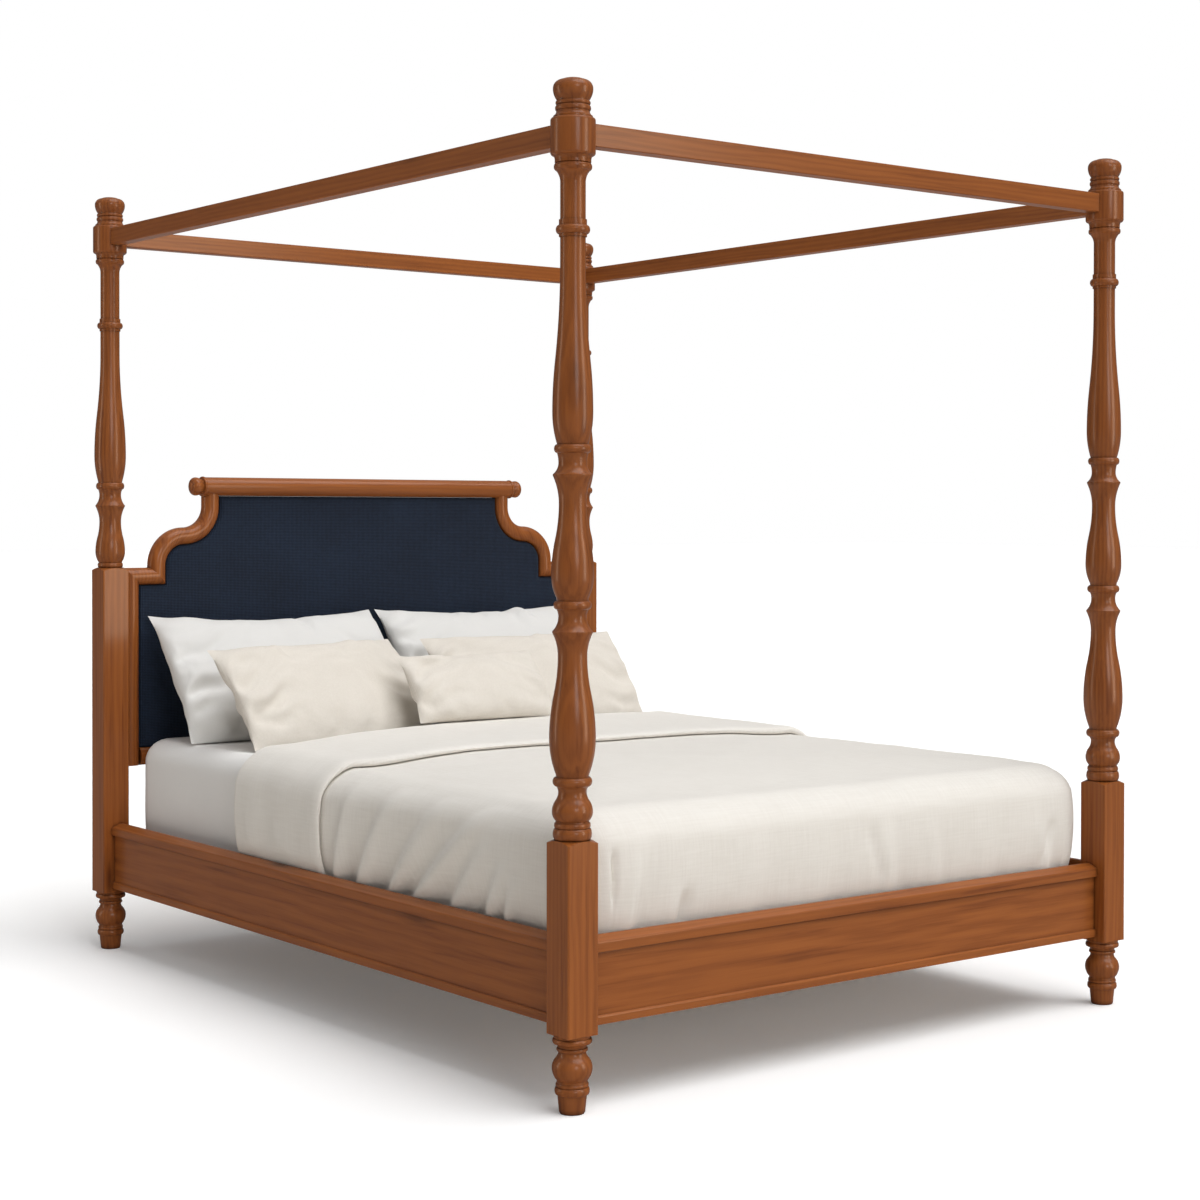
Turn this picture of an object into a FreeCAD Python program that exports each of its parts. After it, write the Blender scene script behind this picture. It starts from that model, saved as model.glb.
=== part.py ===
import FreeCAD, Part
import math
import os

import Sketcher

Vec = FreeCAD.Vector
DOC = FreeCAD.newDocument("PosterBed")
SHEET = DOC.addObject("Spreadsheet::Sheet", "Sizes")

# Driving sizes in millimetres, angles in degrees. X is the width, +Y the head end, Z up from the floor.
SIZES = (
    # Posts: the turned and square lengths that stack up to the height
    ("post_height", 2071),
    ("foot_height", 158),
    ("foot_radius", 41),
    ("foot_block_height", 391),
    ("head_block_height", 893),
    ("block_side", 76),
    ("block_easing", 2.5),
    ("block_shoulder_drop", 8),
    ("column_radius", 47),
    ("drum_height", 76),
    ("drum_radius", 45.5),
    ("finial_height", 80),
    ("finial_radius", 40.5),
    # Square loose tenons that join a finial, a column and a foot to what they stand on
    ("finial_tenon_side", 16),
    ("finial_tenon_length", 70),
    ("post_tenon_side", 26),
    ("post_tenon_length", 110),
    ("foot_tenon_side", 22),
    ("foot_tenon_length", 48),
    # Rails: a board with a moulded cap on its top edge and a bead along its foot
    ("rail_bottom", 170),
    ("rail_board_height", 146),
    ("rail_thickness", 28),
    ("rail_face_out", 7),
    ("cap_height", 31),
    ("cap_overhang", 8),
    ("cap_slope_drop", 8),
    ("cap_slope_width", 22),
    ("cap_round", 4),
    ("bead_height", 19),
    ("bead_proud", 5),
    ("rail_tenon_length", 40),
    ("rail_tenon_thickness", 14),
    ("rail_tenon_height", 110),
    # Bed-rail fittings that hang the side rails on the posts
    ("plate_thickness", 3),
    ("plate_width", 18),
    ("plate_height", 110),
    ("hook_thickness", 5),
    ("hook_reach", 9),
    ("hook_arm_height", 14),
    ("hook_nose_height", 24),
    ("hook_pitch", 56),
    # Bed base
    ("slat_top", 295),
    ("slat_thickness", 18),
    ("slat_width", 70),
    ("slat_end_gap", 90),
    ("ledger_width", 25),
    ("ledger_height", 30),
    ("beam_width", 60),
    ("beam_height", 40),
    ("leg_spacing", 900),
    ("leg_side", 44),
    ("glide_height", 8),
    ("glide_radius", 18),
    ("hanger_thickness", 3),
    ("hanger_height", 70),
    ("hanger_depth", 45),
    # Headboard: half-round frame moulding round an upholstered panel, under a round top rail
    ("headboard_bottom", 500),
    ("shoulder_drop", 26),
    ("shoulder_run", 81),
    ("scroll_riser", 28),
    ("scroll_radius", 84),
    ("moulding_width", 48),
    ("moulding_depth", 34),
    ("moulding_crown", 14),
    ("moulding_setback", 17),
    ("scroll_top_riser", 56),
    ("top_rail_radius", 26.5),
    ("button_length", 44),
    ("button_radius", 27),
    ("panel_thickness", 12),
    ("panel_inset", 8),
    ("pad_thickness", 26),
    ("pad_edge_bevel", 9),
    # Canopy rails, tenoned into the drums
    ("canopy_rail_height", 46),
    ("canopy_rail_thickness", 36),
    ("canopy_rail_rise", 6),
    ("canopy_tenon_depth", 27),
    ("canopy_tenon_height", 30),
    ("canopy_tenon_thickness", 16),
    # Mattress, its room inside the rails, and the duvet
    ("mattress_width", 1524),
    ("mattress_length", 2032),
    ("mattress_height", 285),
    ("mattress_corner", 82),
    ("mattress_bevel", 26),
    ("mattress_side_gap", 32),
    ("mattress_foot_gap", 29),
    ("mattress_head_gap", 17),
    ("duvet_side", 15),
    ("duvet_loft", 25),
    ("band_side", 10),
    ("band_loft", 18),
    ("band_width", 420),
    ("duvet_hem_height", 322),
    ("duvet_shoulder", 60),
    ("duvet_skew_degrees", 6.5),
    ("bare_sheet_length", 647),
    ("fold_depth", 4),
    # Pillows: width, height, thickness, lean from upright, and set-back of the foot from the mattress head
    ("white_width", 722),
    ("white_height", 424),
    ("white_thickness", 140),
    ("white_lean_degrees", 34),
    ("white_setback", 268),
    ("white_gap", 6),
    ("cream_width", 676),
    ("cream_height", 316),
    ("cream_thickness", 110),
    ("cream_lean_degrees", 34),
    ("cream_left_setback", 452),
    ("cream_left_offset", 358),
    ("cream_left_yaw_degrees", 14),
    ("cream_right_setback", 420),
    ("cream_right_offset", 372),
    ("lumbar_width", 456),
    ("lumbar_height", 226),
    ("lumbar_thickness", 92),
    ("lumbar_lean_degrees", 36),
    ("lumbar_setback", 528),
    ("lumbar_offset", 88),
    ("pillow_draw", 14),
    # Room between pieces, and how far a cut runs past what it cuts
    ("fit_clearance", 0.2),
    ("soft_clearance", 0.5),
    ("cut_overrun", 5),
)
SLAT_COUNT = 13
SIDE_FOLD_COUNT = 5
FOOT_FOLD_COUNT = 4
SIDES = (("left", -1), ("right", 1))
ENDS = (("foot", -1), ("head", 1))

# Turnings from the bottom up: kind, share of the length and share of the largest radius at its end, and
# for a hollow its depth as a share of that radius. turning_segments describes the kinds.
FOOT_COLUMN_START_SHARE = 0.75
FOOT_COLUMN_SHARES = (
    ("line", 0.022, 0.75),
    ("line", 0.003, 0.68),
    ("ring", 0.045, 0.88),
    ("ring", 0.022, 0.84),
    ("swell", 0.055, 1.00),
    ("swell", 0.066, 0.80),
    ("hollow", 0.088, 0.87, 0.215),
    ("line", 0.024, 0.64),
    ("ring", 0.024, 0.82),
    ("swell", 0.034, 0.915),
    ("swell", 0.052, 0.75),
    ("hollow", 0.094, 0.85, 0.215),
    ("line", 0.026, 0.64),
    ("ring", 0.020, 0.80),
    ("swell", 0.046, 0.875),
    ("swell", 0.075, 0.76),
    ("hollow", 0.140, 0.545, 0.054),
    ("line", 0.042, 0.545),
    ("ring", 0.023, 0.735),
    ("line", 0.062, 0.545),
    ("line", 0.022, 0.80),
    ("line", 0.016, 0.80),
)
HEAD_COLUMN_START_SHARE = 0.72
HEAD_COLUMN_SHARES = (
    ("line", 0.018, 0.72),
    ("swell", 0.032, 0.85),
    ("swell", 0.048, 0.735),
    ("hollow", 0.098, 0.85, 0.17),
    ("line", 0.045, 0.64),
    ("ring", 0.035, 0.81),
    ("swell", 0.081, 0.905),
    ("swell", 0.130, 0.763),
    ("hollow", 0.195, 0.55, 0.053),
    ("line", 0.074, 0.55),
    ("ring", 0.036, 0.735),
    ("line", 0.145, 0.55),
    ("line", 0.038, 0.80),
    ("line", 0.025, 0.80),
)
FINIAL_START_SHARE = 0.98
FINIAL_SHARES = (
    ("line", 0.08, 0.98),
    ("line", 0.06, 0.82),
    ("line", 0.22, 0.82),
    ("line", 0.24, 1.00),
    ("line", 0.18, 1.00),
    ("line", 0.22, 0.60),
)
TURNED_FOOT_START_SHARE = 0.62
TURNED_FOOT_SHARES = (
    ("line", 0.24, 0.73),
    ("ring", 0.15, 0.86),
    ("line", 0.15, 1.00),
    ("line", 0.06, 1.00),
    ("line", 0.20, 0.69),
    ("line", 0.08, 0.93),
    ("line", 0.12, 0.93),
)
# Button at each end of the headboard's top rail, from the rail outwards
BUTTON_START_SHARE = 1.06
BUTTON_SHARES = (
    ("line", 0.20, 1.06),
    ("line", 0.04, 0.80),
    ("line", 0.16, 0.80),
    ("line", 0.10, 1.00),
    ("line", 0.28, 1.00),
    ("line", 0.22, 0.60),
)
RING_BEVEL_SHARE = 0.18
# Diagonal of a square as a share of its side
DIAGONAL_SHARE = math.sqrt(2)

# Duvet from the hem up: share of the drop, of the shoulder drawn in from the side, and of the fold depth
DUVET_SHARES = (
    (0.00, 0.08, 1.00),
    (0.45, -0.06, 0.70),
    (0.80, 0.00, 0.10),
    (0.94, 0.22, 0.00),
    (1.00, 0.95, 0.00),
)


class Size:
    """A number together with the sheet expression that gives it."""

    def __init__(self, value, text):
        self.value = float(value)
        self.text = text

    def __add__(self, other):
        other = as_size(other)
        return Size(self.value + other.value, f"({self.text} + {other.text})")

    def __sub__(self, other):
        other = as_size(other)
        return Size(self.value - other.value, f"({self.text} - {other.text})")

    def __mul__(self, other):
        other = as_size(other)
        return Size(self.value * other.value, f"({self.text} * {other.text})")

    def __truediv__(self, other):
        other = as_size(other)
        return Size(self.value / other.value, f"({self.text} / {other.text})")

    def __neg__(self):
        return self * -1

    __radd__ = __add__
    __rmul__ = __mul__


def as_size(number):
    if isinstance(number, Size):
        return number
    return Size(number, f"({float(number):.6f})")


class Cells:
    """The sheet's sizes by name."""


def fill_sheet():
    cells = Cells()
    for row, (alias, number) in enumerate(SIZES, start=1):
        SHEET.set(f"A{row}", alias)
        SHEET.set(f"B{row}", str(number))
        SHEET.setAlias(f"B{row}", alias)
        setattr(cells, alias, Size(number, f"Sizes.{alias}"))
    DOC.recompute()
    return cells


S = fill_sheet()
ZERO = as_size(0)
PARTS = []

# Places that several pieces share
RAIL_INNER = S.rail_thickness - S.rail_face_out
POST_X = S.mattress_width / 2 + S.mattress_side_gap + RAIL_INNER
POST_Y = (S.mattress_length + S.mattress_foot_gap + S.mattress_head_gap) / 2 + RAIL_INNER
BLOCK_HALF = S.block_side / 2
DRUM_TOP = S.post_height - S.finial_height
DRUM_BOTTOM = DRUM_TOP - S.drum_height
BOARD_TOP = S.rail_bottom + S.rail_board_height
SLAT_BOTTOM = S.slat_top - S.slat_thickness
BEAM_BOTTOM = SLAT_BOTTOM - S.beam_height
CANOPY_CENTRE = DRUM_BOTTOM + S.drum_height / 2 + S.canopy_rail_rise
MATTRESS_FOOT = RAIL_INNER - POST_Y + S.mattress_foot_gap
MATTRESS_HEAD = MATTRESS_FOOT + S.mattress_length
MATTRESS_TOP = S.slat_top + S.mattress_height
DUVET_TOP = MATTRESS_TOP + S.duvet_loft
MOULDING_BACK = POST_Y + S.moulding_setback
MOULDING_HALF = S.moulding_width / 2
STILE_X = POST_X - BLOCK_HALF - MOULDING_HALF
SCROLL_X = STILE_X - S.shoulder_run
SCROLL_INNER_X = SCROLL_X - S.scroll_radius * 2
SHOULDER_CENTRE = S.foot_height + S.head_block_height - S.shoulder_drop
SCROLL_SPRING = SHOULDER_CENTRE + S.scroll_riser
SCROLL_TOP = SCROLL_SPRING + S.scroll_radius * 2
TOP_BAR_HEIGHT = SCROLL_TOP + S.scroll_top_riser
TOP_BAR_Y = MOULDING_BACK - S.moulding_depth / 2


def block_top(end):
    return S.foot_height + (S.foot_block_height if end == "foot" else S.head_block_height)


def keep(piece, label):
    piece.Label = label
    PARTS.append(piece)
    return piece


def bind(piece, prop, size):
    piece.setExpression(prop, as_size(size).text)


def place(piece, x, y, z, rotation=None):
    if rotation:
        piece.Placement = FreeCAD.Placement(Vec(), rotation)
    for axis, size in zip("xyz", (x, y, z)):
        bind(piece, f"Placement.Base.{axis}", size)
    return piece


def box(name, x_span, y_span, z_span):
    """A box between two places on each axis, given in either order."""
    solid = DOC.addObject("Part::Box", name)
    corner = []
    for prop, span in zip(("Length", "Width", "Height"), (x_span, y_span, z_span)):
        low, high = sorted((as_size(end) for end in span), key=lambda end: end.value)
        corner.append(low)
        bind(solid, prop, high - low)
    return place(solid, *corner)


def round_bar(name, radius, x, y, z_span, rotation=None):
    """An upright bar, or a bar turned by rotation about its lower end."""
    solid = DOC.addObject("Part::Cylinder", name)
    bind(solid, "Radius", radius)
    bind(solid, "Height", z_span[1] - z_span[0])
    return place(solid, x, y, z_span[0], rotation)


def fuse(name, pieces):
    joined = DOC.addObject("Part::MultiFuse", name)
    joined.Shapes = pieces
    return joined


def cut(name, base, tools):
    result = DOC.addObject("Part::Cut", name)
    result.Base = base
    result.Tool = tools[0] if len(tools) == 1 else fuse(f"{name}_cuts", tools)
    return result


def group(name, pieces):
    joined = DOC.addObject("Part::Compound", name)
    joined.Links = pieces
    return joined


def arc_middle(start, end, radius, turn):
    """Middle of the lesser arc from start to end; turn is 1 anticlockwise and -1 clockwise."""
    chord = end - start
    sagitta = radius - math.sqrt(max(radius**2 - (chord.Length / 2) ** 2, 0))
    outward = Vec(chord.y, -chord.x, 0).normalize() * turn
    return (start + end) / 2 + outward * sagitta


def chain_sketch(body, name, role, start, segments, closed=True):
    """Sketch on one of the body's origin planes. A segment is (x, y), a line to that point, or
    (x, y, radius, turn), an arc to it. Each point and radius is bound to the sheet."""
    sketch = body.newObject("Sketcher::SketchObject", name)
    plane = next(item for item in body.Origin.OriginFeatures if item.Role == role)
    sketch.AttachmentSupport = [(plane, "")]
    sketch.MapMode = "FlatFace"
    limits = []

    def pin(point, index, end):
        for kind, axis, size in zip(("DistanceX", "DistanceY"), (-2, -1), point):
            if size.value == 0:
                limits.append((Sketcher.Constraint("PointOnObject", index, end, axis), None))
            else:
                limits.append((Sketcher.Constraint(kind, -1, 1, index, end, size.value), size))

    ends = []
    here = start
    for segment in segments:
        there = segment[:2]
        first = Vec(here[0].value, here[1].value, 0)
        last = Vec(there[0].value, there[1].value, 0)
        if len(segment) == 2:
            index = sketch.addGeometry(Part.LineSegment(first, last), False)
            ends.append((index, 1, 2))
        else:
            radius, turn = segment[2:]
            middle = arc_middle(first, last, radius.value, turn)
            ordered = (first, middle, last) if turn > 0 else (last, middle, first)
            index = sketch.addGeometry(Part.Arc(*ordered), False)
            ends.append((index, 1, 2) if turn > 0 else (index, 2, 1))
            limits.append((Sketcher.Constraint("Radius", index, radius.value), radius))
        pin(there, index, ends[-1][2])
        here = there
    followers = ends[1:] + ends[:1] if closed else ends[1:]
    for (index, _, last), (next_index, first, _) in zip(ends, followers):
        limits.append((Sketcher.Constraint("Coincident", index, last, next_index, first), None))
    if not closed:
        pin(start, *ends[0][:2])
    sketch.addConstraint([limit for limit, _ in limits])
    for number, (_, size) in enumerate(limits):
        if size:
            sketch.setExpression(f"Constraints[{number}]", size.text)
    return sketch


def rectangle(low_x, high_x, low_y, high_y):
    start = (low_x, low_y)
    return start, [(high_x, low_y), (high_x, high_y), (low_x, high_y), start]


def padded_body(name, role, start, segments, length, symmetric=False):
    body = DOC.addObject("PartDesign::Body", name)
    sketch = chain_sketch(body, f"{name}_outline", role, start, segments)
    pad = body.newObject("PartDesign::Pad", f"{name}_pad")
    pad.Profile = sketch
    pad.Midplane = symmetric
    bind(pad, "Length", length)
    return body


def bevel_edges(body, name, size, wanted):
    """Bevel the edges of the body's tip that wanted(edge) picks."""
    DOC.recompute()
    base = body.Tip
    picked = [f"Edge{number}" for number, edge in enumerate(base.Shape.Edges, start=1) if wanted(edge)]
    trim = body.newObject("PartDesign::Chamfer", name)
    trim.Base = (base, picked)
    bind(trim, "Size", size)
    return trim


def turning_segments(start_radius, base, length, radius, shares):
    """Outline of a turning, up its outside. A swell is a round stretch that is widest at one end, a
    hollow is sunk in from its chord, and a ring is a band with bevels that goes out and comes back."""
    total = sum(step[1] for step in shares)
    reached = 0
    here = (start_radius, base)
    segments = [here]
    for kind, height_share, radius_share, *depth_share in shares:
        reached += height_share
        height = length * (height_share / total)
        there = (radius * radius_share, base + length * (reached / total))
        step = there[0] - here[0] if there[0].value > here[0].value else here[0] - there[0]
        if kind == "line":
            segments.append(there)
        elif kind == "ring":
            bevel = height * RING_BEVEL_SHARE
            outside = there[0]
            there = (here[0], there[1])
            segments += [(outside, here[1] + bevel), (outside, there[1] - bevel), there]
        elif kind == "swell":
            segments.append((*there, (height * height + step * step) / (step * 2), 1))
        else:
            depth = radius * depth_share[0]
            bend = ((height * height + step * step) / 4 + depth * depth) / (depth * 2)
            segments.append((*there, bend, -1))
        here = there
    return segments


def turned_body(name, outline):
    """Body turned about its Z axis from an outline that starts and ends on that axis."""
    body = DOC.addObject("PartDesign::Body", name)
    start = (ZERO, outline[0][1])
    closing = [] if outline[-1][0].value == 0 else [(ZERO, outline[-1][1])]
    sketch = chain_sketch(body, f"{name}_outline", "XZ_Plane", start, outline + closing + [start])
    turning = body.newObject("PartDesign::Revolution", f"{name}_turning")
    turning.Profile = sketch
    turning.ReferenceAxis = (sketch, ["V_Axis"])
    return body


def turned_body_cut(body, name, start, segments):
    """Cut the body by an outline turned about its Z axis."""
    sketch = chain_sketch(body, f"{name}_outline", "XZ_Plane", start, segments)
    groove = body.newObject("PartDesign::Groove", name)
    groove.Profile = sketch
    groove.ReferenceAxis = (sketch, ["V_Axis"])


def corners():
    """Name, end and the signs of X and Y of each post."""
    for end, end_sign in ENDS:
        for side, side_sign in SIDES:
            yield f"{end}_{side}", end, side_sign, end_sign


def rail_tools(name, side_sign, end_sign, post_x, post_y):
    """Cuts in a lower post: the mortise of the foot or head rail, and the seat and pocket of a hook plate."""
    clear = S.fit_clearance
    rail_middle = post_y + (S.rail_face_out - S.rail_thickness / 2) * end_sign
    half_thick = S.rail_tenon_thickness / 2 + clear
    face_x = post_x - BLOCK_HALF * side_sign
    middle_z = S.rail_bottom + S.rail_board_height / 2
    half_tall = S.rail_tenon_height / 2 + clear
    mortise = box(
        f"{name}_mortise",
        (face_x - S.cut_overrun * side_sign, face_x + (S.rail_tenon_length + clear) * side_sign),
        (rail_middle - half_thick, rail_middle + half_thick),
        (middle_z - half_tall, middle_z + half_tall),
    )
    face_y = post_y - BLOCK_HALF * end_sign
    plate_x = post_x + (S.rail_face_out - S.rail_thickness / 2) * side_sign
    half_wide = S.plate_width / 2 + clear
    half_plate = S.plate_height / 2 + clear
    seat = box(
        f"{name}_plate_seat",
        (plate_x - half_wide, plate_x + half_wide),
        (face_y - S.cut_overrun * end_sign, face_y + S.plate_thickness * end_sign),
        (middle_z - half_plate, middle_z + half_plate),
    )
    half_pocket = half_plate - S.plate_thickness * 2
    pocket = box(
        f"{name}_hook_pocket",
        (plate_x - S.hook_thickness, plate_x + S.hook_thickness),
        (face_y, face_y + (S.plate_thickness + S.hook_reach + clear) * end_sign),
        (middle_z - half_pocket, middle_z + half_pocket),
    )
    return [mortise, seat, pocket]


def loose_tenon(name, x, y, middle, side, length, clear):
    """Upright square tenon, or with clearance the cut that it fits."""
    half = side / 2 + clear
    reach = length / 2 + clear
    return box(name, (x - half, x + half), (y - half, y + half), (middle - reach, middle + reach))


def post_tenon(name, x, y, end, clear):
    return loose_tenon(name, x, y, block_top(end), S.post_tenon_side, S.post_tenon_length, clear)


def foot_tenon(name, x, y, clear):
    return loose_tenon(name, x, y, S.foot_height, S.foot_tenon_side, S.foot_tenon_length, clear)


def finial_tenon(name, x, y, clear):
    return loose_tenon(name, x, y, DRUM_TOP, S.finial_tenon_side, S.finial_tenon_length, clear)


def lower_post(name, end, side_sign, end_sign):
    """Square lower post with eased corners and a turned shoulder, cut for its rails and tenons."""
    height = block_top(end) - S.foot_height
    start, sides = rectangle(-BLOCK_HALF, BLOCK_HALF, -BLOCK_HALF, BLOCK_HALF)
    body = padded_body(f"{name}_block", "XY_Plane", start, sides, height)
    middle = height.value / 2
    bevel_edges(
        body,
        f"{name}_easing",
        S.block_easing,
        lambda edge: edge.BoundBox.ZLength > middle,
    )
    flat = BLOCK_HALF - S.block_easing
    corner = BLOCK_HALF * DIAGONAL_SHARE
    outside = corner + S.cut_overrun
    low = height - S.block_shoulder_drop
    over = height + S.cut_overrun
    fall = [(flat, height), (corner, low), (outside, low), (outside, over), (flat, over)]
    turned_body_cut(body, f"{name}_shoulder", (flat, over), fall)
    x = POST_X * side_sign
    y = POST_Y * end_sign
    place(body, x, y, S.foot_height)
    tools = rail_tools(name, side_sign, end_sign, x, y)
    tools.append(foot_tenon(f"{name}_foot_mortise", x, y, S.fit_clearance))
    tools.append(post_tenon(f"{name}_post_mortise", x, y, end, S.fit_clearance))
    return keep(cut(f"{name}_lower", body, tools), f"lower_post_{name}")


def column_outline(end):
    """Turned column from the block to the top of the drum."""
    length = DRUM_BOTTOM - block_top(end)
    start_share = FOOT_COLUMN_START_SHARE if end == "foot" else HEAD_COLUMN_START_SHARE
    shares = FOOT_COLUMN_SHARES if end == "foot" else HEAD_COLUMN_SHARES
    outline = turning_segments(S.column_radius * start_share, ZERO, length, S.column_radius, shares)
    outline.append((S.drum_radius, length))
    outline.append((S.drum_radius, length + S.drum_height))
    return outline


def upper_post(name, end, side_sign, end_sign):
    """Turned upper post, cut for its two canopy rails and the tenons at its ends."""
    x = POST_X * side_sign
    y = POST_Y * end_sign
    body = place(turned_body(f"{name}_column", column_outline(end)), x, y, block_top(end))
    clear = S.fit_clearance
    half_thick = S.canopy_tenon_thickness / 2 + clear
    tall = (
        CANOPY_CENTRE - S.canopy_tenon_height / 2 - clear,
        CANOPY_CENTRE + S.canopy_tenon_height / 2 + clear,
    )
    deep = S.drum_radius - S.canopy_tenon_depth - clear
    out = S.drum_radius + S.cut_overrun
    tools = [
        box(
            f"{name}_cross_mortise",
            (x - deep * side_sign, x - out * side_sign),
            (y - half_thick, y + half_thick),
            tall,
        ),
        box(
            f"{name}_side_mortise",
            (x - half_thick, x + half_thick),
            (y - deep * end_sign, y - out * end_sign),
            tall,
        ),
        post_tenon(f"{name}_column_mortise", x, y, end, clear),
        finial_tenon(f"{name}_drum_mortise", x, y, clear),
    ]
    return cut(f"{name}_upper", body, tools)


def turned_foot(name, side_sign, end_sign):
    start = S.foot_radius * TURNED_FOOT_START_SHARE
    outline = turning_segments(start, ZERO, S.foot_height, S.foot_radius, TURNED_FOOT_SHARES)
    x = POST_X * side_sign
    y = POST_Y * end_sign
    body = place(turned_body(f"{name}_turned_foot", outline), x, y, ZERO)
    mortise = foot_tenon(f"{name}_turned_foot_mortise", x, y, S.fit_clearance)
    return cut(f"{name}_foot_cut", body, [mortise])


def finial(name, side_sign, end_sign):
    start = S.finial_radius * FINIAL_START_SHARE
    outline = turning_segments(start, ZERO, S.finial_height, S.finial_radius, FINIAL_SHARES)
    x = POST_X * side_sign
    y = POST_Y * end_sign
    body = place(turned_body(f"{name}_finial", outline), x, y, DRUM_TOP)
    mortise = finial_tenon(f"{name}_finial_mortise", x, y, S.fit_clearance)
    return cut(f"{name}_finial_cut", body, [mortise])


def make_posts():
    head_columns = []
    feet = []
    finials = []
    foot_tenons = []
    post_tenons = []
    finial_tenons = []
    for name, end, side_sign, end_sign in corners():
        x = POST_X * side_sign
        y = POST_Y * end_sign
        lower_post(name, end, side_sign, end_sign)
        column = upper_post(name, end, side_sign, end_sign)
        if end == "foot":
            keep(column, f"upper_post_{name}")
        else:
            head_columns.append(column)
        feet.append(turned_foot(name, side_sign, end_sign))
        finials.append(finial(name, side_sign, end_sign))
        foot_tenons.append(foot_tenon(f"{name}_foot_tenon", x, y, ZERO))
        post_tenons.append(post_tenon(f"{name}_post_tenon", x, y, end, ZERO))
        finial_tenons.append(finial_tenon(f"{name}_finial_tenon", x, y, ZERO))
    keep(group("head_column_set", head_columns), "upper_posts_head")
    keep(group("foot_set", feet), "turned_feet")
    keep(group("finial_set", finials), "finials")
    keep(group("foot_tenon_set", foot_tenons), "foot_tenons")
    keep(group("post_tenon_set", post_tenons), "post_tenons")
    keep(group("finial_tenon_set", finial_tenons), "finial_tenons")


# Each rail is drawn along X with its face towards +Y, then turned to face out of its side of the bed
RAILS = (
    ("side_rail_left", -1, 0),
    ("side_rail_right", 1, 0),
    ("foot_rail", 0, -1),
    ("head_rail", 0, 1),
)


def rail_length(across):
    return (POST_X if across else POST_Y) * 2 - S.block_side


def set_rail(piece, x_sign, y_sign):
    turn = math.degrees(math.atan2(-x_sign, y_sign))
    rotation = FreeCAD.Rotation(Vec(0, 0, 1), turn)
    return place(piece, POST_X * x_sign, POST_Y * y_sign, ZERO, rotation)


def rail_board(name, length, across):
    """Rail board: tenoned where it is glued between posts, recessed for hook plates where it hangs."""
    half = length / 2
    board = box(
        f"{name}_plank",
        (-half, half),
        (-RAIL_INNER, S.rail_face_out),
        (S.rail_bottom, BOARD_TOP),
    )
    middle_y = S.rail_face_out - S.rail_thickness / 2
    middle_z = S.rail_bottom + S.rail_board_height / 2
    if across:
        half_thick = S.rail_tenon_thickness / 2
        half_tall = S.rail_tenon_height / 2
        tenons = box(
            f"{name}_tenons",
            (-half - S.rail_tenon_length, half + S.rail_tenon_length),
            (middle_y - half_thick, middle_y + half_thick),
            (middle_z - half_tall, middle_z + half_tall),
        )
        return fuse(f"{name}_board", [board, tenons])
    half_wide = S.plate_width / 2 + S.fit_clearance
    half_tall = S.plate_height / 2 + S.fit_clearance
    recesses = [
        box(
            f"{name}_recess_{side}",
            ((half - S.plate_thickness) * sign, (half + S.cut_overrun) * sign),
            (middle_y - half_wide, middle_y + half_wide),
            (middle_z - half_tall, middle_z + half_tall),
        )
        for side, sign in SIDES
    ]
    return cut(f"{name}_board", board, recesses)


def rail_cap(name, length):
    """Cap moulding that overhangs the board's face, with a sloped top and a rounded nose."""
    top = BOARD_TOP + S.cap_height
    front = S.rail_face_out + S.cap_overhang
    nose = top - S.cap_slope_drop
    segments = [
        (front, BOARD_TOP),
        (front, nose - S.cap_round),
        (front - S.cap_round, nose, S.cap_round, 1),
        (front - S.cap_slope_width, top),
        (-RAIL_INNER, top),
        (-RAIL_INNER, BOARD_TOP),
    ]
    return padded_body(f"{name}_cap_body", "YZ_Plane", (-RAIL_INNER, BOARD_TOP), segments, length, True)


def rail_bead(name, length):
    """Bead along the foot of the board, rounded over at its top."""
    back = S.rail_face_out
    front = back + S.bead_proud
    top = S.rail_bottom + S.bead_height
    segments = [
        (front, S.rail_bottom),
        (front, top - S.bead_proud),
        (back, top, S.bead_proud, 1),
        (back, S.rail_bottom),
    ]
    return padded_body(f"{name}_bead_body", "YZ_Plane", (back, S.rail_bottom), segments, length, True)


def make_rails():
    for name, x_sign, y_sign in RAILS:
        across = y_sign != 0
        length = rail_length(across)
        keep(set_rail(rail_board(name, length, across), x_sign, y_sign), name)
        if name != "head_rail":
            keep(set_rail(rail_cap(name, length), x_sign, y_sign), f"{name}_cap")
            keep(set_rail(rail_bead(name, length), x_sign, y_sign), f"{name}_bead")


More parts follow.
